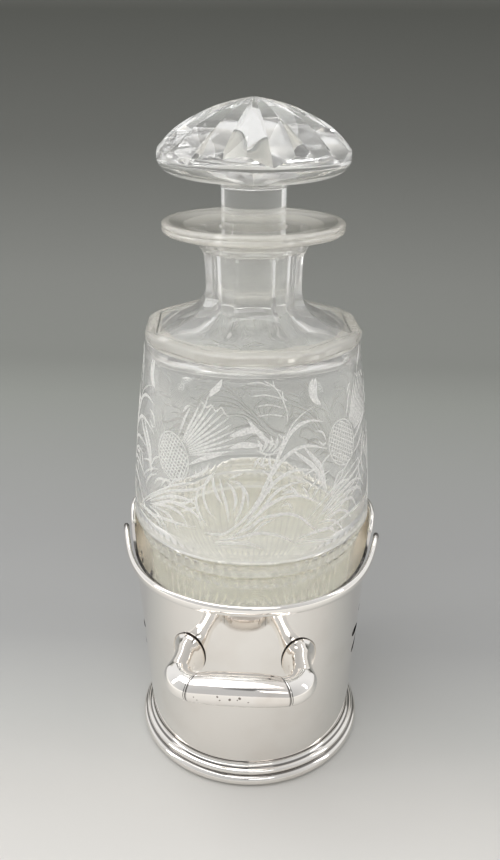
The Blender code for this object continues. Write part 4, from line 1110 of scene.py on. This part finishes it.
STEMS = (
    (0.4, -36.5, 138, -37, 136, -43, 132.5, -53, 126.5, -61, 120.5),
    (0.2, -17.5, 173.5, -19.5, 169, -22.5, 163.5),
    (0.5, -17.5, 121.5, -9.5, 122, -3.5, 125.5, 2, 130.5, 6.5, 136.5, 11, 143.5, 14.5, 150.5),
    (0.25, 13.5, 150, 18.5, 158.5, 22.5, 164, 28.5, 167.5, 36, 169.5),
    (0.2, 9, 180, 14, 177.5, 17, 174, 19.5, 169, 20, 162.5))
LINES = (
    (0.22, -21.5, 171.5, -18, 169.5, -16, 170.5, -13.5, 168.5, -11, 170, -9, 168, -7, 167),
    (0.2, 1, 179, 6.5, 179.5, 12, 178), (0.2, 3, 174.5, 9.5, 175, 17, 173.5),
    (0.2, 5.5, 171, 11, 171.5, 18, 170), (0.2, 6, 167.5, 12, 168, 18.5, 167),
    (0.2, 13, 180, 14, 177.5, 17, 176), (0.2, 19.5, 172.5, 18, 173.5, 17.5, 176))
print("strokes of a spray:", len(LEAVES) + len(STEMS) + len(LINES))

# %% Plume, thistle and spray
# Millimetres along the body for one degree round it
DEGREE = 46.0 * pi / 180
PLUME_STARTS, PLUME_LENGTH, PLUME_SWELL, HATCHING = (6.8, 14.0), 24.0, 3.6, 0.235


def plume_strokes(turn, height, first, last, count):
    """Rays that fan out from a point, with angles from the vertical. The middle ones are longest."""
    found = []
    for share in np.linspace(-1.0, 1.0, count):
        angle = radians(first + (last - first) * (share + 1) / 2)
        way = np.array([sin(angle) / DEGREE, cos(angle)])
        lengths = np.array([*PLUME_STARTS, PLUME_LENGTH + PLUME_SWELL * (1 - share**2)])
        found.append((0.45, lengths[:, None] * way + [turn, height]))
    return found


def thistle_strokes(turn, height, wide, tall, lean):
    """A bulb: its outline and two families of slanting lines kept inside an oval."""
    t = np.linspace(0, 2 * pi, 33)
    found = [(0.22, np.stack([wide * np.cos(t), tall * np.sin(t)], 1))]
    for slant in (1, -1):
        for offset in np.arange(-1.9, 1.91, HATCHING):
            x = np.linspace(-1, 1, 41)
            line = np.stack([wide * x, tall * (0.95 * slant * x + offset)], 1)
            line = line[(x**2 + (line[:, 1] / tall) ** 2) < 0.93]
            if len(line) > 3:
                found.append((0.2, line[[0, len(line) // 2, -1]]))
    spin = np.array([[cos(lean), -sin(lean)], [sin(lean), cos(lean)]])
    return [(w, line @ spin + [turn, height]) for w, line in found]


def spray_strokes(turn, lift):
    """Every stroke of one spray as (half width, taper, points of degrees and height)."""
    found = []
    for table, taper in ((LEAVES, "both"), (STEMS, "end"), (LINES, "none")):
        found += [(w, taper, np.reshape(points, (-1, 2))) for w, *points in table]
    found += [(w, "both", points) for w, points in plume_strokes(-34.0, 149.0, 25.0, 76.0, 11)]
    found += [(w, "none", line / [DEGREE, 1.0]) for w, line in
              thistle_strokes(-36.0 * DEGREE, 148.0, 7.4, 9.3, radians(-20))]
    return [(w, taper, points + [turn, lift * float(np.clip((points[0, 1] - 120) / 20, 0, 1))])
            for w, taper, points in found]


print("strokes with plume and thistle:", len(spray_strokes(0, 0.0)))

# %% Slivers in the glass
# Each spray: its turn in degrees, and how far its upper part is lifted
SPRAYS = ((0, 0.0), (87, 4.0), (180, -1.0), (270, 1.5))
SKIN, DEEPEST = 0.015, 0.12


def make_engraving():
    """Each stroke is a row of four-sided rings along a smooth path on the body, closed to a point."""
    rows, quads, triangles, start = [], [], [], 0
    ring = np.arange(4)
    for turn, lift in SPRAYS:
        for half, taper, points in spray_strokes(turn, lift):
            count = int(np.clip(4 * len(points) + 4, 9, 34))
            path = spline(points, count)
            t = np.linspace(0, 1, count)
            grow = {"both": np.sin(pi * np.clip(0.04 + 0.94 * t, 0, 1)) ** 0.75,
                    "end": np.minimum(1.0, 3 * (1 - t)) * np.minimum(1, 0.5 + 6 * t),
                    "none": np.minimum(1, 12 * np.minimum(t, 1 - t) + 0.3)}[taper]
            z = path[:, 1]
            r = np.interp(z, BODY[::-1, 1], BODY[::-1, 0])
            a = np.radians(path[:, 0])
            flat = np.stack([a * r, z], 1)
            along = np.gradient(flat, axis=0)
            along /= np.linalg.norm(along, axis=1)[:, None]
            across = np.stack([along[:, 1], -along[:, 0]], 1) * (half * grow)[:, None]
            deep = np.minimum(0.3 * half, DEEPEST) * grow
            corners = []
            for side, depth in ((-1, SKIN), (0, 0.02 + deep), (1, SKIN), (0, -2 * SKIN - deep)):
                p = flat + side * across
                rr = np.interp(p[:, 1], BODY[::-1, 1], BODY[::-1, 0]) + depth
                corners.append(np.stack([rr * np.sin(p[:, 0] / r), -rr * np.cos(p[:, 0] / r), p[:, 1]], 1))
            grid = np.stack(corners, 1)
            ends = grid[[0, -1]].mean(1)
            rows.append(np.concatenate([grid.reshape(-1, 3), ends]))
            k = start + 4 * np.arange(count - 1)[:, None]
            near, far = k + ring, k + (ring + 1) % 4
            quads.append(np.stack([near, far, far + 4, near + 4], 2).reshape(-1, 4))
            first, last = start + 4 * count, start + 4 * count + 1
            tail = start + 4 * (count - 1)
            triangles.append(np.stack([np.full(4, first), start + (ring + 1) % 4, start + ring], 1))
            triangles.append(np.stack([np.full(4, last), tail + ring, tail + (ring + 1) % 4], 1))
            start += 4 * count + 2
    return mesh_object("wheel_engraving", np.concatenate(rows) * MM, np.concatenate(quads),
                       np.concatenate(triangles), 80)


work = make_engraving()
work.data.materials.append(ENGRAVED)
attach(work, "decanter")
print("engraving:", len(work.data.polygons), "faces")

# %% [markdown]
# ## Stopper
#
# Sixteen mitre cuts run from the top to the rim of a solid mushroom of glass, a long one and a short
# one by turns, and a cutter's eye spaced them a little unevenly. Cuts by Booleans would meet in
# slivers at the top. So along each line out from the middle the surface follows the cut until the
# dome is lower. Each valley and each ridge is a column of the mesh, and the line where a cut leaves
# the dome is a row, so all stay crisp.

# %% Valleys, ridge and wall of the dome
CUTS, PER_CUT, STOPPER_TURN = 16, 20, 3.4
# How far each cut strays from its even place, in degrees
UNEVEN = (-1.0, 1.0, 1.5, 1.0, 0.5, 0.0, -1.0, 0.0, 1.0, 0.5, 0.0, -1.0, -2.0, -4.0, -5.5, -7.0)
DOME_TOP, RIM_LOW, STEM, STEM_TOP, LIP_TOP, PLUG_END = 269.2, 247.4, 11.9, 237.8, 225.4, 191.2
WALL = spline([(33.2, 254.6), (33.9, 253.6), (34.35, 252.6), (34.6, 251.2), (34.65, 249.4), (34.5, 248.1),
               (34.25, RIM_LOW)], 200)
LONG = spline([(0.0, DOME_TOP), (2.0, 268.5), (9.0, 265.8), (17.5, 261.7), (26.4, 256.1), (31.0, 252.5),
               (34.6, 249.0), (35.0, 248.6)], 300)
SHORT = spline([(0.0, DOME_TOP), (2.0, 268.5), (9.0, 265.8), (17.5, 261.8), (26.4, 256.7), (31.0, 253.9),
                (34.6, 251.5), (35.0, 251.2)], 300)
RIDGE = spline([(0.0, 269.3), (4.0, 268.7), (9.0, 267.6), (14.0, 266.1), (19.0, 264.0), (24.0, 261.5),
                (28.0, 258.9), (31.0, 256.3), (33.0, 254.1), (34.2, 252.8), (35.0, 252.0)], 300)
print("a long cut ends", round(SHORT[-1, 1] - LONG[-1, 1], 1), "mm lower than a short one")

# %% Where each cut lies
CUT_PLACE = np.arange(CUTS * PER_CUT) / PER_CUT
KNOTS = np.arange(-1, CUTS + 1)
MIDDLES = np.radians((KNOTS + 0.5) * 360 / CUTS + STOPPER_TURN + np.take(UNEVEN, KNOTS, mode="wrap"))
CUT_ANGLE = np.interp(CUT_PLACE, KNOTS + 0.5, MIDDLES)


def cut_height(r):
    """Height of the cut surface at radius r: in a valley, on a ridge or between them."""
    short = np.floor(CUT_PLACE) % 2 == 1
    valley = np.where(short, np.interp(r, SHORT[:, 0], SHORT[:, 1]), np.interp(r, LONG[:, 0], LONG[:, 1]))
    offset = np.abs((CUT_PLACE % 1.0) * 2 - 1)
    return valley + (np.interp(r, RIDGE[:, 0], RIDGE[:, 1]) - valley) * offset


def wall_at(z):
    """Radius of the uncut wall at height z."""
    return np.interp(z, WALL[::-1, 1], WALL[::-1, 0])


def stopper_row(radius, height):
    """One row round the stopper, with a column on every valley and ridge."""
    return np.stack([radius * np.sin(CUT_ANGLE), -radius * np.cos(CUT_ANGLE), height + 0 * CUT_ANGLE], 1)


print("columns round the stopper:", len(CUT_ANGLE))

# %% Dome, rim, stem and plug
LOWEST_EDGE, HIGHEST_EDGE, HALVINGS = 247.8, 254.5, 40


def make_stopper():
    """The cut part of each line first, then the uncut rim, the underside, the stem and the plug.

    Where a cut leaves the rim is found by halving: above it the cut is lower than the wall."""
    low, high = np.full(len(CUT_PLACE), LOWEST_EDGE), np.full(len(CUT_PLACE), HIGHEST_EDGE)
    for _ in range(HALVINGS):
        middle = (low + high) / 2
        above = cut_height(wall_at(middle)) > middle
        low, high = np.where(above, middle, low), np.where(above, high, middle)
    edge, edge_height = wall_at(low), low
    rows = [np.array([[0.0, 0.0, DOME_TOP]])]
    for share in np.linspace(0.02, 1.0, 40):
        rows.append(stopper_row(edge * share, cut_height(edge * share)))
    for share in np.linspace(0.0, 1.0, 10)[1:]:
        z = edge_height + (RIM_LOW - edge_height) * share
        rows.append(stopper_row(wall_at(z), z))
    side = np.concatenate([
        spline([(33.9, 246.9), (32.5, 245.3), (30.0, 243.9), (26.0, 242.7), (21.0, 241.8), (16.0, 240.9),
                (13.0, 240.2), (12.1, 239.6), (STEM, 238.8)], 30),
        lines([(STEM, STEM_TOP), (STEM, LIP_TOP), (STEM, 192.2)], 6),
        spline([(11.85, 191.8), (11.5, 191.3), (11.0, PLUG_END)], 4),
        lines([(9.0, PLUG_END), (0.0, PLUG_END)], 2)])
    rows += as_rows([stopper_row(radius, height) for radius, height in side])
    return rows_object("crystal_stopper", rows, sharp=20)


finish_piece(make_stopper(), POLISHED, "stopper", "stopper")
